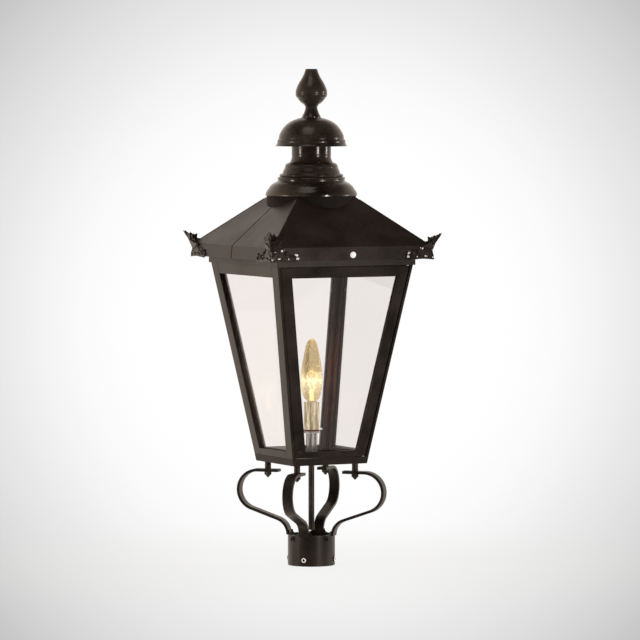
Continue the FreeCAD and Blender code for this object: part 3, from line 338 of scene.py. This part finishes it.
paint = blackStovePaint("blackStoveEnamel", "#17120f", "#3a2f28", 0.3, 0.46)
roofPaint = blackStovePaint("blackStoveEnamelRoof", "#190f0d", "#3a2a25", 0.32, 0.44, True)
panPaint = blackStovePaint("dustyStoveEnamel", "#150f0c", "#33281f", 0.5, 0.68)
# a lighter, glossier copy of the enamel for the castings and turned parts: partly their own tone, partly
# painted sheen
castPaint = blackStovePaint("blackEnamelCasting", "#1f1915", "#54473d", 0.18, 0.32)
# a much lighter copy of the enamel for the hip rolls: a painted highlight
hipHighlightPaint = blackStovePaint("hipEnamelPaintedHighlight", "#4a4039", "#7b6f64", 0.3, 0.5)
# a darker, rougher copy of the enamel for the vent collar
darkDullPaint = blackStovePaint("darkDullEnamel", "#0d0807", "#1b1110", 0.7, 0.85)
glintCrestFinish = paintedGlintMetal()
setScrew = setScrewZinc()
# both zinc finishes glow with a painted highlight, far the strongest on the screw heads
zinc = zincPlate("zincPlatedSteel", 0.12)
paintedHighlightZinc = zincPlate("zincHeadPaintedHighlight", 0.7)
glass = floatGlass()
litGlass = bulbGlass()
filamentGlow = hotFilament()
# sleeve, stem and foot ring: painted reflection bands and a painted glow from the lamp
brass = tubeWithPaintedReflections("lacqueredBrass", "#8f7044", "#fff1cf", 0.2, 0.75, 0.36, 4 * mm)
stemMetal = tubeWithPaintedReflections("nickelPlatedTube", "#7d776f", "#e6e2da", 0.14, 1.0, 0.1, 3 * mm)
copper = tubeWithPaintedReflections("darkenedCopperRing", "#5f2f20", "#8d5340", 0.3, 0.8, 0.1, 2 * mm)
ceramic = glazedCeramic()
print("materials made:", len(bpy.data.materials))


def setFinish(nodeName, material):
    mesh = frame["nodes"][nodeName].data
    mesh.materials.clear()
    mesh.materials.append(material)


def addObject(name, data):
    made = bpy.data.objects.new(name, data)
    bpy.context.scene.collection.objects.link(made)
    return made


def keepMesh(name, mesh, material, body):
    piece = addObject(name, mesh)
    mesh.materials.clear()
    mesh.materials.append(material)
    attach(piece, body)
    return piece


def meshOf(work, name):
    mesh = bpy.data.meshes.new(name)
    work.to_mesh(mesh)
    work.free()
    return mesh


def plainMesh(holder):
    # the shape with its modifiers applied; the holder isn't needed after that
    graph = bpy.context.evaluated_depsgraph_get()
    mesh = bpy.data.meshes.new_from_object(holder.evaluated_get(graph))
    bpy.data.objects.remove(holder)
    return mesh


softEdges = {"sharpDeg": 30, "segments": 2, "join": 0.002 * mm, "flatDeg": 0.5, "flatWeight": 100}


def mergedCopy(nodeName):
    # a copy of a node with its loose triangles joined and its flat areas made one face
    s = softEdges
    mesh = frame["nodes"][nodeName].data.copy()
    work = bmesh.new()
    work.from_mesh(mesh)
    bmesh.ops.remove_doubles(work, verts=work.verts, dist=s["join"])
    bmesh.ops.dissolve_limit(work, angle_limit=math.radians(s["flatDeg"]), verts=work.verts, edges=work.edges,
                             delimit={"NORMAL"})
    for face in work.faces:
        face.smooth = True
    work.to_mesh(mesh)
    work.free()
    return mesh


def softened(nodeName, body, width, material):
    # folded and filed metal has no knife edges, so each sharp edge gets a small round
    s = softEdges
    holder = addObject("holder", mergedCopy(nodeName))
    bevel = holder.modifiers.new("soft", "BEVEL")
    bevel.width = width
    bevel.segments = s["segments"]
    bevel.limit_method = "ANGLE"
    bevel.angle_limit = math.radians(s["sharpDeg"])
    bevel.use_clamp_overlap = True
    flat = holder.modifiers.new("flat", "WEIGHTED_NORMAL")
    flat.weight = s["flatWeight"]
    piece = keepMesh(nodeName + "_soft", plainMesh(holder), material, body)
    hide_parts(nodeName)


bodyOf = {node: body for body, nodes in frame["record"]["behaviour"]["bodies"].items() for node in nodes}

plainFinishes = {
    "collar_set_screws": setScrew, "leg_bolts": zinc, "leg_spacers": castPaint, "leg_nuts": castPaint,
    "pane_right": glass, "pane_back": glass, "pane_left": glass, "door_pane": glass,
    "pane_retainer_right": paint, "pane_retainer_back": paint, "pane_retainer_left": paint,
    "door_bead": paint, "terminal_block": ceramic, "door_pins": zinc, "catch_cam": zinc,
    "catch_knob": castPaint, "conduit_tube": castPaint, "conduit_lock_nuts": zinc, "lamp_stem": stemMetal,
    "lamp_holder": ceramic, "candle_sleeve": brass, "bulb_cap": brass, "bulb_glass": litGlass,
    "bulb_filament": filamentGlow, "roof_seam_strip": paint, "roof_soffit": paint, "vent_collar": darkDullPaint,
    "chimney_bridge": paint, "chimney_rod": zinc, "chimney_rod_nuts": zinc,
    "roof_hinge_frame_leaves": paint, "roof_hinge_lid_knuckles": paint, "roof_hinge_pins": zinc,
    "roof_tab": paint, "roof_screw": paintedHighlightZinc, "roof_screw_nut": zinc, "chimney_skirt": castPaint,
    "chimney_neck": castPaint, "chimney_cap": castPaint, "finial": castPaint, "ornament_rivets": castPaint,
}
for nodeName, finish in plainFinishes.items():
    setFinish(nodeName, finish)

# the width of each rounded edge, and the finish
softNodes = {
    "roof_shell": (0.7 * mm, roofPaint), "eaves_frame": (0.8 * mm, paint), "base_pan": (0.3 * mm, panPaint),
    "post_front_left": (0.6 * mm, paint), "post_front_right": (0.6 * mm, paint),
    "post_back_left": (0.6 * mm, paint), "post_back_right": (0.6 * mm, paint),
    "bottom_rails": (0.5 * mm, paint), "top_rails": (0.5 * mm, paint), "door_frame": (0.35 * mm, paint),
    "post_collar": (0.5 * mm, paint), "leg_front_left": (0.9 * mm, paint),
    "leg_front_right": (0.9 * mm, paint), "leg_back_left": (0.9 * mm, paint),
    "leg_back_right": (0.9 * mm, paint),
}
for nodeName, (width, finish) in softNodes.items():
    softened(nodeName, bodyOf[nodeName], width, finish)
print("soft edges made:", len(softNodes))

# top and foot are how far the ends of each roll stand from the axis, along X and along Y
hipSizes = {
    "top": 62 * mm, "foot": 153.4 * mm, "footZ": 560.9 * mm, "pitchDeg": 40.59, "radius": 0.8 * mm,
    "rounding": 3,
}


def addHips():
    # the pressed roll that runs down each hip and catches the light; its much lighter enamel is a painted
    # highlight
    s = hipSizes
    curve = bpy.data.curves.new("hips", "CURVE")
    curve.dimensions = "3D"
    curve.bevel_depth = s["radius"]
    curve.bevel_resolution = s["rounding"]
    curve.use_fill_caps = True
    topZ = s["footZ"] + (s["foot"] - s["top"]) * math.tan(math.radians(s["pitchDeg"]))
    for x, y in ((-1, -1), (1, -1), (1, 1), (-1, 1)):
        spline = curve.splines.new("POLY")
        spline.points.add(1)
        spline.points[0].co = (x * s["top"], y * s["top"], topZ, 1)
        spline.points[1].co = (x * s["foot"], y * s["foot"], s["footZ"], 1)
    mesh = plainMesh(addObject("holder", curve))
    for face in mesh.polygons:
        face.use_smooth = True
    keepMesh("roof_hip_rolls", mesh, hipHighlightPaint, "roof")


addHips()
print("hips made")


def turnedMesh(name, outline, segments):
    # turns (radius, height) points about the Z axis
    work = bmesh.new()
    verts = [work.verts.new((r, 0, z)) for r, z in outline]
    for a, b in zip(verts, verts[1:]):
        work.edges.new((a, b))
    bmesh.ops.spin(work, geom=work.verts[:] + work.edges[:], cent=(0, 0, 0), axis=(0, 0, 1),
                   angle=math.tau, steps=segments, use_merge=True)
    bmesh.ops.remove_doubles(work, verts=work.verts, dist=0.01 * mm)
    bmesh.ops.recalc_face_normals(work, faces=work.faces)
    for face in work.faces:
        face.smooth = True
    return meshOf(work, name)


bulbShape = {
    "segments": 40,
    # (radius in metres, share of height): a candle bulb, fullest low down, with a blunt tip
    "outline": [(0.0088, 0.0), (0.0128, 0.03), (0.0156, 0.09), (0.0178, 0.18), (0.019, 0.29), (0.0191, 0.38),
                (0.0181, 0.49), (0.0162, 0.6), (0.0143, 0.7), (0.0123, 0.8), (0.0103, 0.88), (0.0076, 0.95),
                (0.0044, 0.985), (0.0, 1.0)],
}


def addBulb():
    low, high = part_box("bulb_glass")
    rise = high[2] - low[2]
    outline = [(r, low[2] + share * rise) for r, share in bulbShape["outline"]]
    mesh = turnedMesh("bulb_candle", outline, bulbShape["segments"])
    piece = keepMesh("bulb_candle", mesh, litGlass, "lantern")
    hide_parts("bulb_glass")


sleeveTrim = {
    "ringIn": 0.2 * mm, "ringOut": 0.7 * mm, "ringHeight": 3.6 * mm, "ringSegments": 48,
    "screwRadius": 1.9 * mm, "screwLength": 5 * mm, "screwZ": 4 * mm, "screwSegments": 24,
    # shares of the screw's radius and length, from its end back into the sleeve
    "screwOutline": [(0, 1), (0.7, 1), (1, 0.75), (1, 0.45), (0.5, 0.4), (0.5, 0)],
}


def addSleeveTrim():
    # the dark ring at the sleeve's foot and the small clamp screw beside it, on the camera's right
    s = sleeveTrim
    low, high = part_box("candle_sleeve")
    r, z = high[0], low[2]
    ring = [(r - s["ringIn"], z), (r + s["ringOut"], z + 0.25 * s["ringHeight"]),
            (r + s["ringOut"], z + 0.75 * s["ringHeight"]), (r - s["ringIn"], z + s["ringHeight"])]
    mesh = turnedMesh("sleeve_foot_ring", ring + ring[:1], s["ringSegments"])
    keepMesh("sleeve_foot_ring", mesh, copper, "lantern")
    outline = [(a * s["screwRadius"], b * s["screwLength"]) for a, b in s["screwOutline"]]
    mesh = turnedMesh("sleeve_clamp_screw", outline, s["screwSegments"])
    side = math.radians(cameraSizes["turnDeg"])
    place = Vector((math.cos(side) * r, -math.sin(side) * r, z + s["screwZ"]))
    outward = Matrix.Rotation(-side, 4, "Z") @ Matrix.Rotation(math.radians(90), 4, "Y")
    mesh.transform(Matrix.Translation(place) @ outward)
    # the clamp screw's finish glows with a painted highlight
    keepMesh("sleeve_clamp_screw", mesh, paintedHighlightZinc, "lantern")


screwShape = {
    "radius": 5.4 * mm, "height": 3.2 * mm, "segments": 36,
    # shares of the radius and the height, from the top of the dome to its turned rim
    "outline": [(0, 1), (0.45, 0.96), (0.8, 0.7), (1, 0.3), (1, 0), (0.7, 0)],
}


def addScrewHead():
    # domed washer head over the screw
    s = screwShape
    low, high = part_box("roof_screw")
    outline = [(a * s["radius"], b * s["height"]) for a, b in s["outline"]]
    mesh = turnedMesh("roof_screw_dome", outline, s["segments"])
    middle = Vector(((low[0] + high[0]) / 2, low[1] + s["height"], (low[2] + high[2]) / 2))
    mesh.transform(Matrix.Translation(middle) @ Matrix.Rotation(math.radians(90), 4, "X"))
    # the head's finish glows with a painted highlight
    keepMesh("roof_screw_dome", mesh, paintedHighlightZinc, "roof_screw")


addBulb()
addSleeveTrim()
addScrewHead()
print("bulb, sleeve trim and screw head made")

ornamentSizes = {
    "fasciaHalf": 156.3 * mm, "fasciaLean": 2.8 / 22.5, "fasciaZ": 538.5 * mm, "plate": 1.35 * mm,
    "rootHeight": 19 * mm, "leanDeg": 27, "ridge": 1.0 * mm, "ridgeStep": 1.2 * mm, "boss": 1 * mm,
    "crestLift": 0.6 * mm,
}


def ornamentPoint(along, height, side, lift, leanDeg=ornamentSizes["leanDeg"]):
    # along runs from the corner on the front (side 0) or right (side 1) face, lift stands off the plate
    s = ornamentSizes
    low = min(height, s["rootHeight"])
    leaf, lean = max(0, height - s["rootHeight"]), math.radians(leanDeg)
    out = s["fasciaHalf"] + s["plate"] - s["fasciaLean"] * low + leaf * math.sin(lean)
    place = Vector((out - along, -out - lift, s["fasciaZ"] + low + leaf * math.cos(lean)))
    return Vector((-place.y, -place.x, place.z)) if side else place


# each ridge is a row of (along, height) in millimetres, drawn on both wings; the midrib only once
ornamentRidges = {
    "lowerEdge": [(1, 0), (14, 1), (28, 0.5), (44, -0.5), (53, 1.5), (55, 5.5), (51, 8), (47.5, 5.5),
                  (49.5, 3)],
    "middleScroll": [(10, 2.5), (20, 4), (29, 9), (33, 14), (29.5, 16.5), (25.5, 13.5), (27.5, 10)],
    "upperScroll": [(41, 4), (45.5, 8.5), (41, 11.5), (37, 8.5), (38.5, 6)],
    "shoulder": [(2, 8), (9, 13), (15, 20.5), (11, 23.5), (8, 19.5)],
    "midrib": [(0.4, 4), (0.4, 18), (0.4, 30), (0.4, 43)],
    "lobeVein": [(0.6, 19), (3, 26), (8, 32), (15.5, 38)],
}
# (along, height, radius) in millimetres
ornamentBosses = [(22, 20, 2.6), (50, 11, 1.9), (52.5, 4.7, 2.2), (33, 4.2, 2.0), (15, 5, 2.2), (3, 3, 1.8),
                  (41, 8.6, 1.8), (29, 13, 1.9), (7, 31, 1.6), (11, 20, 1.8)]


def reliefTree():
    # sweeps a round bar along each ridge, half sunk in the plate, and sets a boss on each loose point
    tree = bpy.data.node_groups.new("ornamentRelief", "GeometryNodeTree")
    face = tree.interface
    face.new_socket("Geometry", in_out="INPUT", socket_type="NodeSocketGeometry")
    for name in ("Ridge Radius", "Ridge Step", "Boss Radius"):
        face.new_socket(name, in_out="INPUT", socket_type="NodeSocketFloat")
    face.new_socket("Finish", in_out="INPUT", socket_type="NodeSocketMaterial")
    face.new_socket("Geometry", in_out="OUTPUT", socket_type="NodeSocketGeometry")
    given = addNode(tree, "NodeGroupInput")
    curve = addNode(tree, "GeometryNodeMeshToCurve", {}, {"Mesh": given.outputs["Geometry"]})
    spline = addNode(tree, "GeometryNodeCurveSplineType", {"spline_type": "CATMULL_ROM"},
                     {"Curve": curve.outputs[0]})
    even = addNode(tree, "GeometryNodeResampleCurve", {"mode": "LENGTH"},
                   {"Curve": spline.outputs[0], "Length": given.outputs["Ridge Step"]})
    section = addNode(tree, "GeometryNodeCurvePrimitiveCircle", {},
                      {"Resolution": 8, "Radius": given.outputs["Ridge Radius"]})
    sweep = addNode(tree, "GeometryNodeCurveToMesh", {},
                    {"Curve": even.outputs[0], "Profile Curve": section.outputs[0], "Fill Caps": True})
    edgeCount = addNode(tree, "GeometryNodeInputMeshVertexNeighbors")
    loose = addNode(tree, "FunctionNodeCompare", {"data_type": "INT", "operation": "EQUAL"},
                    {2: edgeCount.outputs["Vertex Count"], 3: 0})
    boss = addNode(tree, "GeometryNodeMeshIcoSphere", {},
                   {"Radius": given.outputs["Boss Radius"], "Subdivisions": 3})
    size = addNode(tree, "GeometryNodeInputNamedAttribute", {"data_type": "FLOAT"}, {"Name": "bossSize"})
    points = addNode(tree, "GeometryNodeMeshToPoints", {},
                     {"Mesh": given.outputs["Geometry"], "Selection": loose.outputs[0]})
    placed = addNode(tree, "GeometryNodeInstanceOnPoints", {},
                     {"Points": points.outputs[0], "Instance": boss.outputs[0], "Scale": size.outputs[0]})
    joined = addNode(tree, "GeometryNodeJoinGeometry")
    tree.links.new(sweep.outputs[0], joined.inputs[0])
    tree.links.new(placed.outputs[0], joined.inputs[0])
    real = addNode(tree, "GeometryNodeRealizeInstances", {}, {0: joined.outputs[0]})
    smooth = addNode(tree, "GeometryNodeSetShadeSmooth", {}, {0: real.outputs[0]})
    finish = addNode(tree, "GeometryNodeSetMaterial", {},
                     {"Geometry": smooth.outputs[0], "Material": given.outputs["Finish"]})
    addNode(tree, "NodeGroupOutput", {}, {0: finish.outputs[0]})
    return tree


def setInputs(modifier, tree, values):
    for item in tree.interface.items_tree:
        if item.item_type == "SOCKET" and item.in_out == "INPUT" and item.name in values:
            modifier[item.identifier] = values[item.name]


relief = reliefTree()


def reliefMesh(turn, ridges, bosses, lift, finish, sides=(0, 1)):
    # ridges as edge chains and bosses as loose points, turned to one corner
    s = ornamentSizes
    work = bmesh.new()
    sizeLayer = work.verts.layers.float.new("bossSize")
    for side in sides:
        for name, row in ridges.items():
            if side and name == "midrib":
                continue
            chain = [work.verts.new(turn @ ornamentPoint(a * mm, h * mm, side, 0.0)) for a, h in row]
            for a, b in zip(chain, chain[1:]):
                work.edges.new((a, b))
        for along, height, radius in bosses:
            vert = work.verts.new(turn @ ornamentPoint(along * mm, height * mm, side, lift))
            vert[sizeLayer] = radius
    holder = addObject("holder", meshOf(work, "relief"))
    modifier = holder.modifiers.new("relief", "NODES")
    modifier.node_group = relief
    setInputs(modifier, relief, {"Ridge Radius": s["ridge"], "Ridge Step": s["ridgeStep"],
                                 "Boss Radius": s["boss"], "Finish": finish})
    return plainMesh(holder)


def joinMeshes(name, meshes):
    work = bmesh.new()
    for mesh in meshes:
        work.from_mesh(mesh)
    return meshOf(work, name)


# painted glint spots of a wing: (along, height, radius) in millimetres
paintedGlintSpots = [(20, 18, 2.0), (22.5, 19.5, 1.8), (46.5, 11, 1.6), (49, 10, 2.0), (51, 4.4, 2.2), (49, 4, 1.5),
              (33, 4, 1.5), (16, 4.5, 1.7), (14, 4.3, 1.3), (2.5, 2.6, 1.5)]
# only the wings on the door's side get the painted glints
glintWings = {"front_right": [0], "front_left": [1]}

leafSizes = {
    "thickness": 1.1 * mm, "vein": 0.7 * mm, "hollow": 1.6 * mm, "join": 0.05 * mm,
    # how far a leaf is stretched up and how many degrees it leans out; the nearest one stands straighter
    "usualBend": (0.93, 21), "bends": {"front_left": (1.07, 14)},
    # (along, height) in millimetres: half of the palmette's edge from its root to the tip, and its hollows
    "edge": [(0, 15), (8, 14), (15, 17), (21, 23), (16, 26), (22, 32.5), (15.5, 34), (21, 43), (12, 40.5),
             (8, 46), (5, 42), (0.3, 49)],
    "hollows": [(9, 20), (9, 28), (8, 36)],
    "spineHeights": [18, 26, 34, 42],
}


def leafMesh(turn, stretch, lean):
    # a folded leaf: each half is a fan of facets about the midrib, hollowed between the veins
    s = leafSizes
    work = bmesh.new()
    for side in (0, 1):
        rim = [work.verts.new(turn @ ornamentPoint(a * mm, h * stretch * mm, side, s["vein"] * (i % 2), lean))
               for i, (a, h) in enumerate(s["edge"])]
        spine = [work.verts.new(turn @ ornamentPoint(0, h * mm * stretch, side, s["vein"], lean))
                 for h in s["spineHeights"]]
        middle = [work.verts.new(turn @ ornamentPoint(a * mm, h * mm * stretch, side, -s["hollow"], lean))
                  for a, h in s["hollows"]]
        fans = [(spine[0], rim[0], rim[1], rim[2], rim[3], rim[4], middle[0]),
                (middle[0], rim[4], rim[5], rim[6], middle[1]),
                (middle[1], rim[6], rim[7], rim[8], middle[2]),
                (middle[2], rim[8], rim[9], rim[10], rim[11], spine[3]), (spine[3], spine[2], middle[2]),
                (spine[2], spine[1], middle[1], middle[2]), (spine[1], spine[0], middle[0], middle[1])]
        for fan in fans:
            for b, c in zip(fan[1:], fan[2:]):
                work.faces.new((fan[0], b, c))
    bmesh.ops.remove_doubles(work, verts=work.verts, dist=s["join"])
    bmesh.ops.recalc_face_normals(work, faces=work.faces)
    bmesh.ops.solidify(work, geom=work.faces[:], thickness=s["thickness"])
    bmesh.ops.recalc_face_normals(work, faces=work.faces)
    return meshOf(work, "leaf")


ornamentTurns = {"front_right": 0, "back_right": 90, "back_left": 180, "front_left": 270}
for corner, degrees in ornamentTurns.items():
    nodeName = "ornament_" + corner
    turn = Matrix.Rotation(math.radians(degrees), 4, "Z")
    stretch, lean = leafSizes["bends"].get(corner, leafSizes["usualBend"])
    parts = [mergedCopy(nodeName), reliefMesh(turn, ornamentRidges, ornamentBosses, 0.0, castPaint),
             leafMesh(turn, stretch, lean)]
    joined = joinMeshes(nodeName + "_relief", parts)
    joined.set_sharp_from_angle(angle=math.radians(softEdges["sharpDeg"]))
    piece = keepMesh(nodeName + "_relief", joined, castPaint, "roof")
    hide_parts(nodeName)
    # the painted glints, only on the door's side
    if corner in glintWings:
        crests = reliefMesh(turn, {}, paintedGlintSpots, ornamentSizes["crestLift"], glintCrestFinish, glintWings[corner])
        keepMesh(nodeName + "_crests", crests, glintCrestFinish, "roof")
print("ornaments made:", len(ornamentTurns))


def addCamera():
    s = cameraSizes
    turn = math.radians(s["turnDeg"])
    data = bpy.data.cameras.new("photoCamera")
    data.lens = s["lens"]
    data.sensor_width = s["sensor"]
    data.shift_x = (s["pixels"] / 2 - s["axisPixel"]) / s["pixels"]
    data.clip_end = s["farEnd"]
    camera = addObject("photoCamera", data)
    camera.location = (-s["distance"] * math.sin(turn), -s["distance"] * math.cos(turn), s["height"])
    camera.rotation_euler = (math.radians(90 - s["pitchDeg"]), 0, -turn)
    bpy.context.scene.camera = camera


def warm(value):
    return (value, value * 0.9, value * 0.8, 1)


studioSizes = {
    "leftShare": 0.3, "reach": 1.2, "cardOuterDeg": 5.45, "cardInnerDeg": 2.08,
    # (share of the way from the camera's side to the far side, brightness)
    "round": [(0.0, warm(0.1)), (0.3, warm(0.14)), (0.48, warm(0.42)), (0.68, warm(0.84)), (1.0, warm(1.2))],
    # (upward share, brightness)
    "upward": [(0.42, grey(1.0)), (0.72, grey(0.2))],
    # the white card's fall-off from the picture's corner to its middle
    "card": [(0.0, "#c5c5c5"), (0.3, "#d9d9d9"), (0.6, "#ebebeb"), (0.72, "#f3f3f3"), (0.84, "#fafafa"),
             (0.94, "#fefefe"), (1.0, "#ffffff")],
}


def addWorld():
    # white studio: pale all round, dimmer overhead and on the camera's side
    c, s = cameraSizes, studioSizes
    world = bpy.data.worlds.new("studio")
    bpy.context.scene.world = world
    world.use_nodes = True
    tree = world.node_tree
    tree.nodes.clear()
    turn = math.radians(c["turnDeg"])
    direction = addNode(tree, "ShaderNodeTexCoord").outputs["Generated"]
    split = addNode(tree, "ShaderNodeSeparateXYZ", {}, {0: direction})
    # brightness round the horizon, by the direction's share along the view and to its left
    along = addNode(tree, "ShaderNodeVectorMath", {"operation": "DOT_PRODUCT"},
                    {0: direction, 1: (math.sin(turn), math.cos(turn), 0)}).outputs["Value"]
    leftward = addNode(tree, "ShaderNodeVectorMath", {"operation": "DOT_PRODUCT"},
                       {0: direction, 1: (-math.cos(turn), math.sin(turn), 0)}).outputs["Value"]
    share = addNode(tree, "ShaderNodeMath", {"operation": "MULTIPLY_ADD"},
                    {0: leftward, 1: s["leftShare"], 2: along})
    place = addNode(tree, "ShaderNodeMapRange", {},
                    {"Value": share.outputs[0], "From Min": -s["reach"], "From Max": s["reach"]})
    back = addNode(tree, "ShaderNodeValToRGB", {}, {"Fac": place.outputs["Result"]}, s["round"])
    high = addNode(tree, "ShaderNodeValToRGB", {}, {"Fac": split.outputs["Z"]}, s["upward"])
    studio = addNode(tree, "ShaderNodeMix", {"data_type": "RGBA", "blend_type": "MULTIPLY"},
                     {0: 1.0, 6: back.outputs["Color"], 7: high.outputs["Color"]})
    # the picture's middle is a little right of the lens axis
    aside = math.atan((c["pixels"] / 2 - c["axisPixel"]) / (c["lens"] / c["sensor"] * c["pixels"]))
    level, drop = math.cos(math.radians(c["pitchDeg"])), math.sin(math.radians(c["pitchDeg"]))
    view = Vector((math.sin(turn + aside) * level, math.cos(turn + aside) * level, -drop))
    towards = addNode(tree, "ShaderNodeVectorMath", {"operation": "DOT_PRODUCT"}, {0: direction, 1: view})
    # the white card falls off to pale grey towards the picture's corners
    card = addNode(tree, "ShaderNodeMapRange", {},
                   {"Value": towards.outputs["Value"], "From Min": math.cos(math.radians(s["cardOuterDeg"])),
                    "From Max": math.cos(math.radians(s["cardInnerDeg"]))})
    seen = addNode(tree, "ShaderNodeValToRGB", {}, {"Fac": card.outputs["Result"]},
                   [(stop, hexToLinear(shade)) for stop, shade in s["card"]])
    path = addNode(tree, "ShaderNodeLightPath")
    direct = addNode(tree, "ShaderNodeMath", {"operation": "MAXIMUM"},
                     {0: path.outputs["Is Camera Ray"], 1: path.outputs["Is Transmission Ray"]})
    pick = addNode(tree, "ShaderNodeMix", {"data_type": "RGBA"},
                   {0: direct.outputs[0], 6: studio.outputs[2], 7: seen.outputs["Color"]})
    background = addNode(tree, "ShaderNodeBackground", {}, {"Color": pick.outputs[2], "Strength": 1.0})
    addNode(tree, "ShaderNodeOutputWorld", {}, {"Surface": background.outputs[0]})


aimHeight = 0.5
# azimuth (from the camera's side, positive to its right) and elevation in degrees, distance, width and height
# in metres, power in watts
studioLights = {
    "rightWindow": (39, 0, 4.0, 0.2, 0.3, 32),
    "leftWindow": (-69, 0, 4.0, 0.4, 0.4, 20),
    "rightRim": (100, 3, 4.0, 0.5, 0.8, 20),
    "overhead": (-20, 66, 3.5, 1.6, 1.6, 12),
}


def addLight(name, azimuthDeg, elevationDeg, distance, width, height, power):
    data = bpy.data.lights.new(name, "AREA")
    data.shape = "RECTANGLE"
    data.size = width
    data.size_y = height
    data.energy = power
    light = addObject(name, data)
    a = math.radians(-90 - cameraSizes["turnDeg"] + azimuthDeg)
    e = math.radians(elevationDeg)
    place = Vector((math.cos(a) * math.cos(e), math.sin(a) * math.cos(e), math.sin(e))) * distance
    light.location = place + Vector((0, 0, aimHeight))
    light.rotation_euler = (-place).to_track_quat("-Z", "Y").to_euler()


glowSizes = {"power": 0.8, "radius": 8 * mm, "colour": "#ffb48a", "place": (18 * mm, 18 * mm, 330 * mm)}


def addBulbGlow():
    # the warm light that the lamp throws on the posts, from just behind the bulb
    s = glowSizes
    data = bpy.data.lights.new("bulbGlow", "POINT")
    data.energy = s["power"]
    data.shadow_soft_size = s["radius"]
    data.color = hexToLinear(s["colour"])[:3]
    light = addObject("bulbGlow", data)
    light.location = s["place"]
    light.visible_glossy = False
    light.visible_transmission = False
    light.visible_camera = False


# fadeFrom and fadeTo are distances from the axis in metres
floorSizes = {
    "radius": 2.4, "segments": 48, "drop": 0.4 * mm, "fadeFrom": 0.12, "fadeTo": 0.9, "strength": 0.24,
    "glow": 0.5,
}


def addFloor():
    # pale floor that shows only a faint shadow and fades into the white card
    s = floorSizes
    work = bmesh.new()
    bmesh.ops.create_circle(work, cap_ends=True, radius=s["radius"], segments=s["segments"])
    mesh = meshOf(work, "floor")
    material, tree = newMaterial("paleFloor")
    coords = addNode(tree, "ShaderNodeTexCoord").outputs["Object"]
    away = addNode(tree, "ShaderNodeVectorMath", {"operation": "LENGTH"}, {0: coords}).outputs["Value"]
    fade = addNode(tree, "ShaderNodeMapRange", {"interpolation_type": "SMOOTHSTEP"},
                   {"Value": away, "From Min": s["fadeFrom"], "From Max": s["fadeTo"],
                    "To Min": s["strength"], "To Max": 0.0})
    diffuse = addNode(tree, "ShaderNodeBsdfDiffuse", {}, {"Color": hexToLinear("#f4f4f2")})
    clear = addNode(tree, "ShaderNodeBsdfTransparent")
    lift = addNode(tree, "ShaderNodeEmission", {}, {"Color": hexToLinear("#ffffff"), "Strength": s["glow"]})
    pale = addNode(tree, "ShaderNodeAddShader", {}, {0: diffuse.outputs[0], 1: lift.outputs[0]})
    mix = addNode(tree, "ShaderNodeMixShader", {},
                  {0: fade.outputs[0], 1: clear.outputs[0], 2: pale.outputs[0]})
    addNode(tree, "ShaderNodeOutputMaterial", {}, {"Surface": mix.outputs[0]})
    mesh.materials.append(material)
    floor = addObject("floor", mesh)
    floor.location.z = -s["drop"]


bpy.context.scene.view_settings.view_transform = "Standard"
addCamera()
addWorld()
addFloor()
for name, values in studioLights.items():
    addLight(name, *values)
addBulbGlow()
print("stage made")
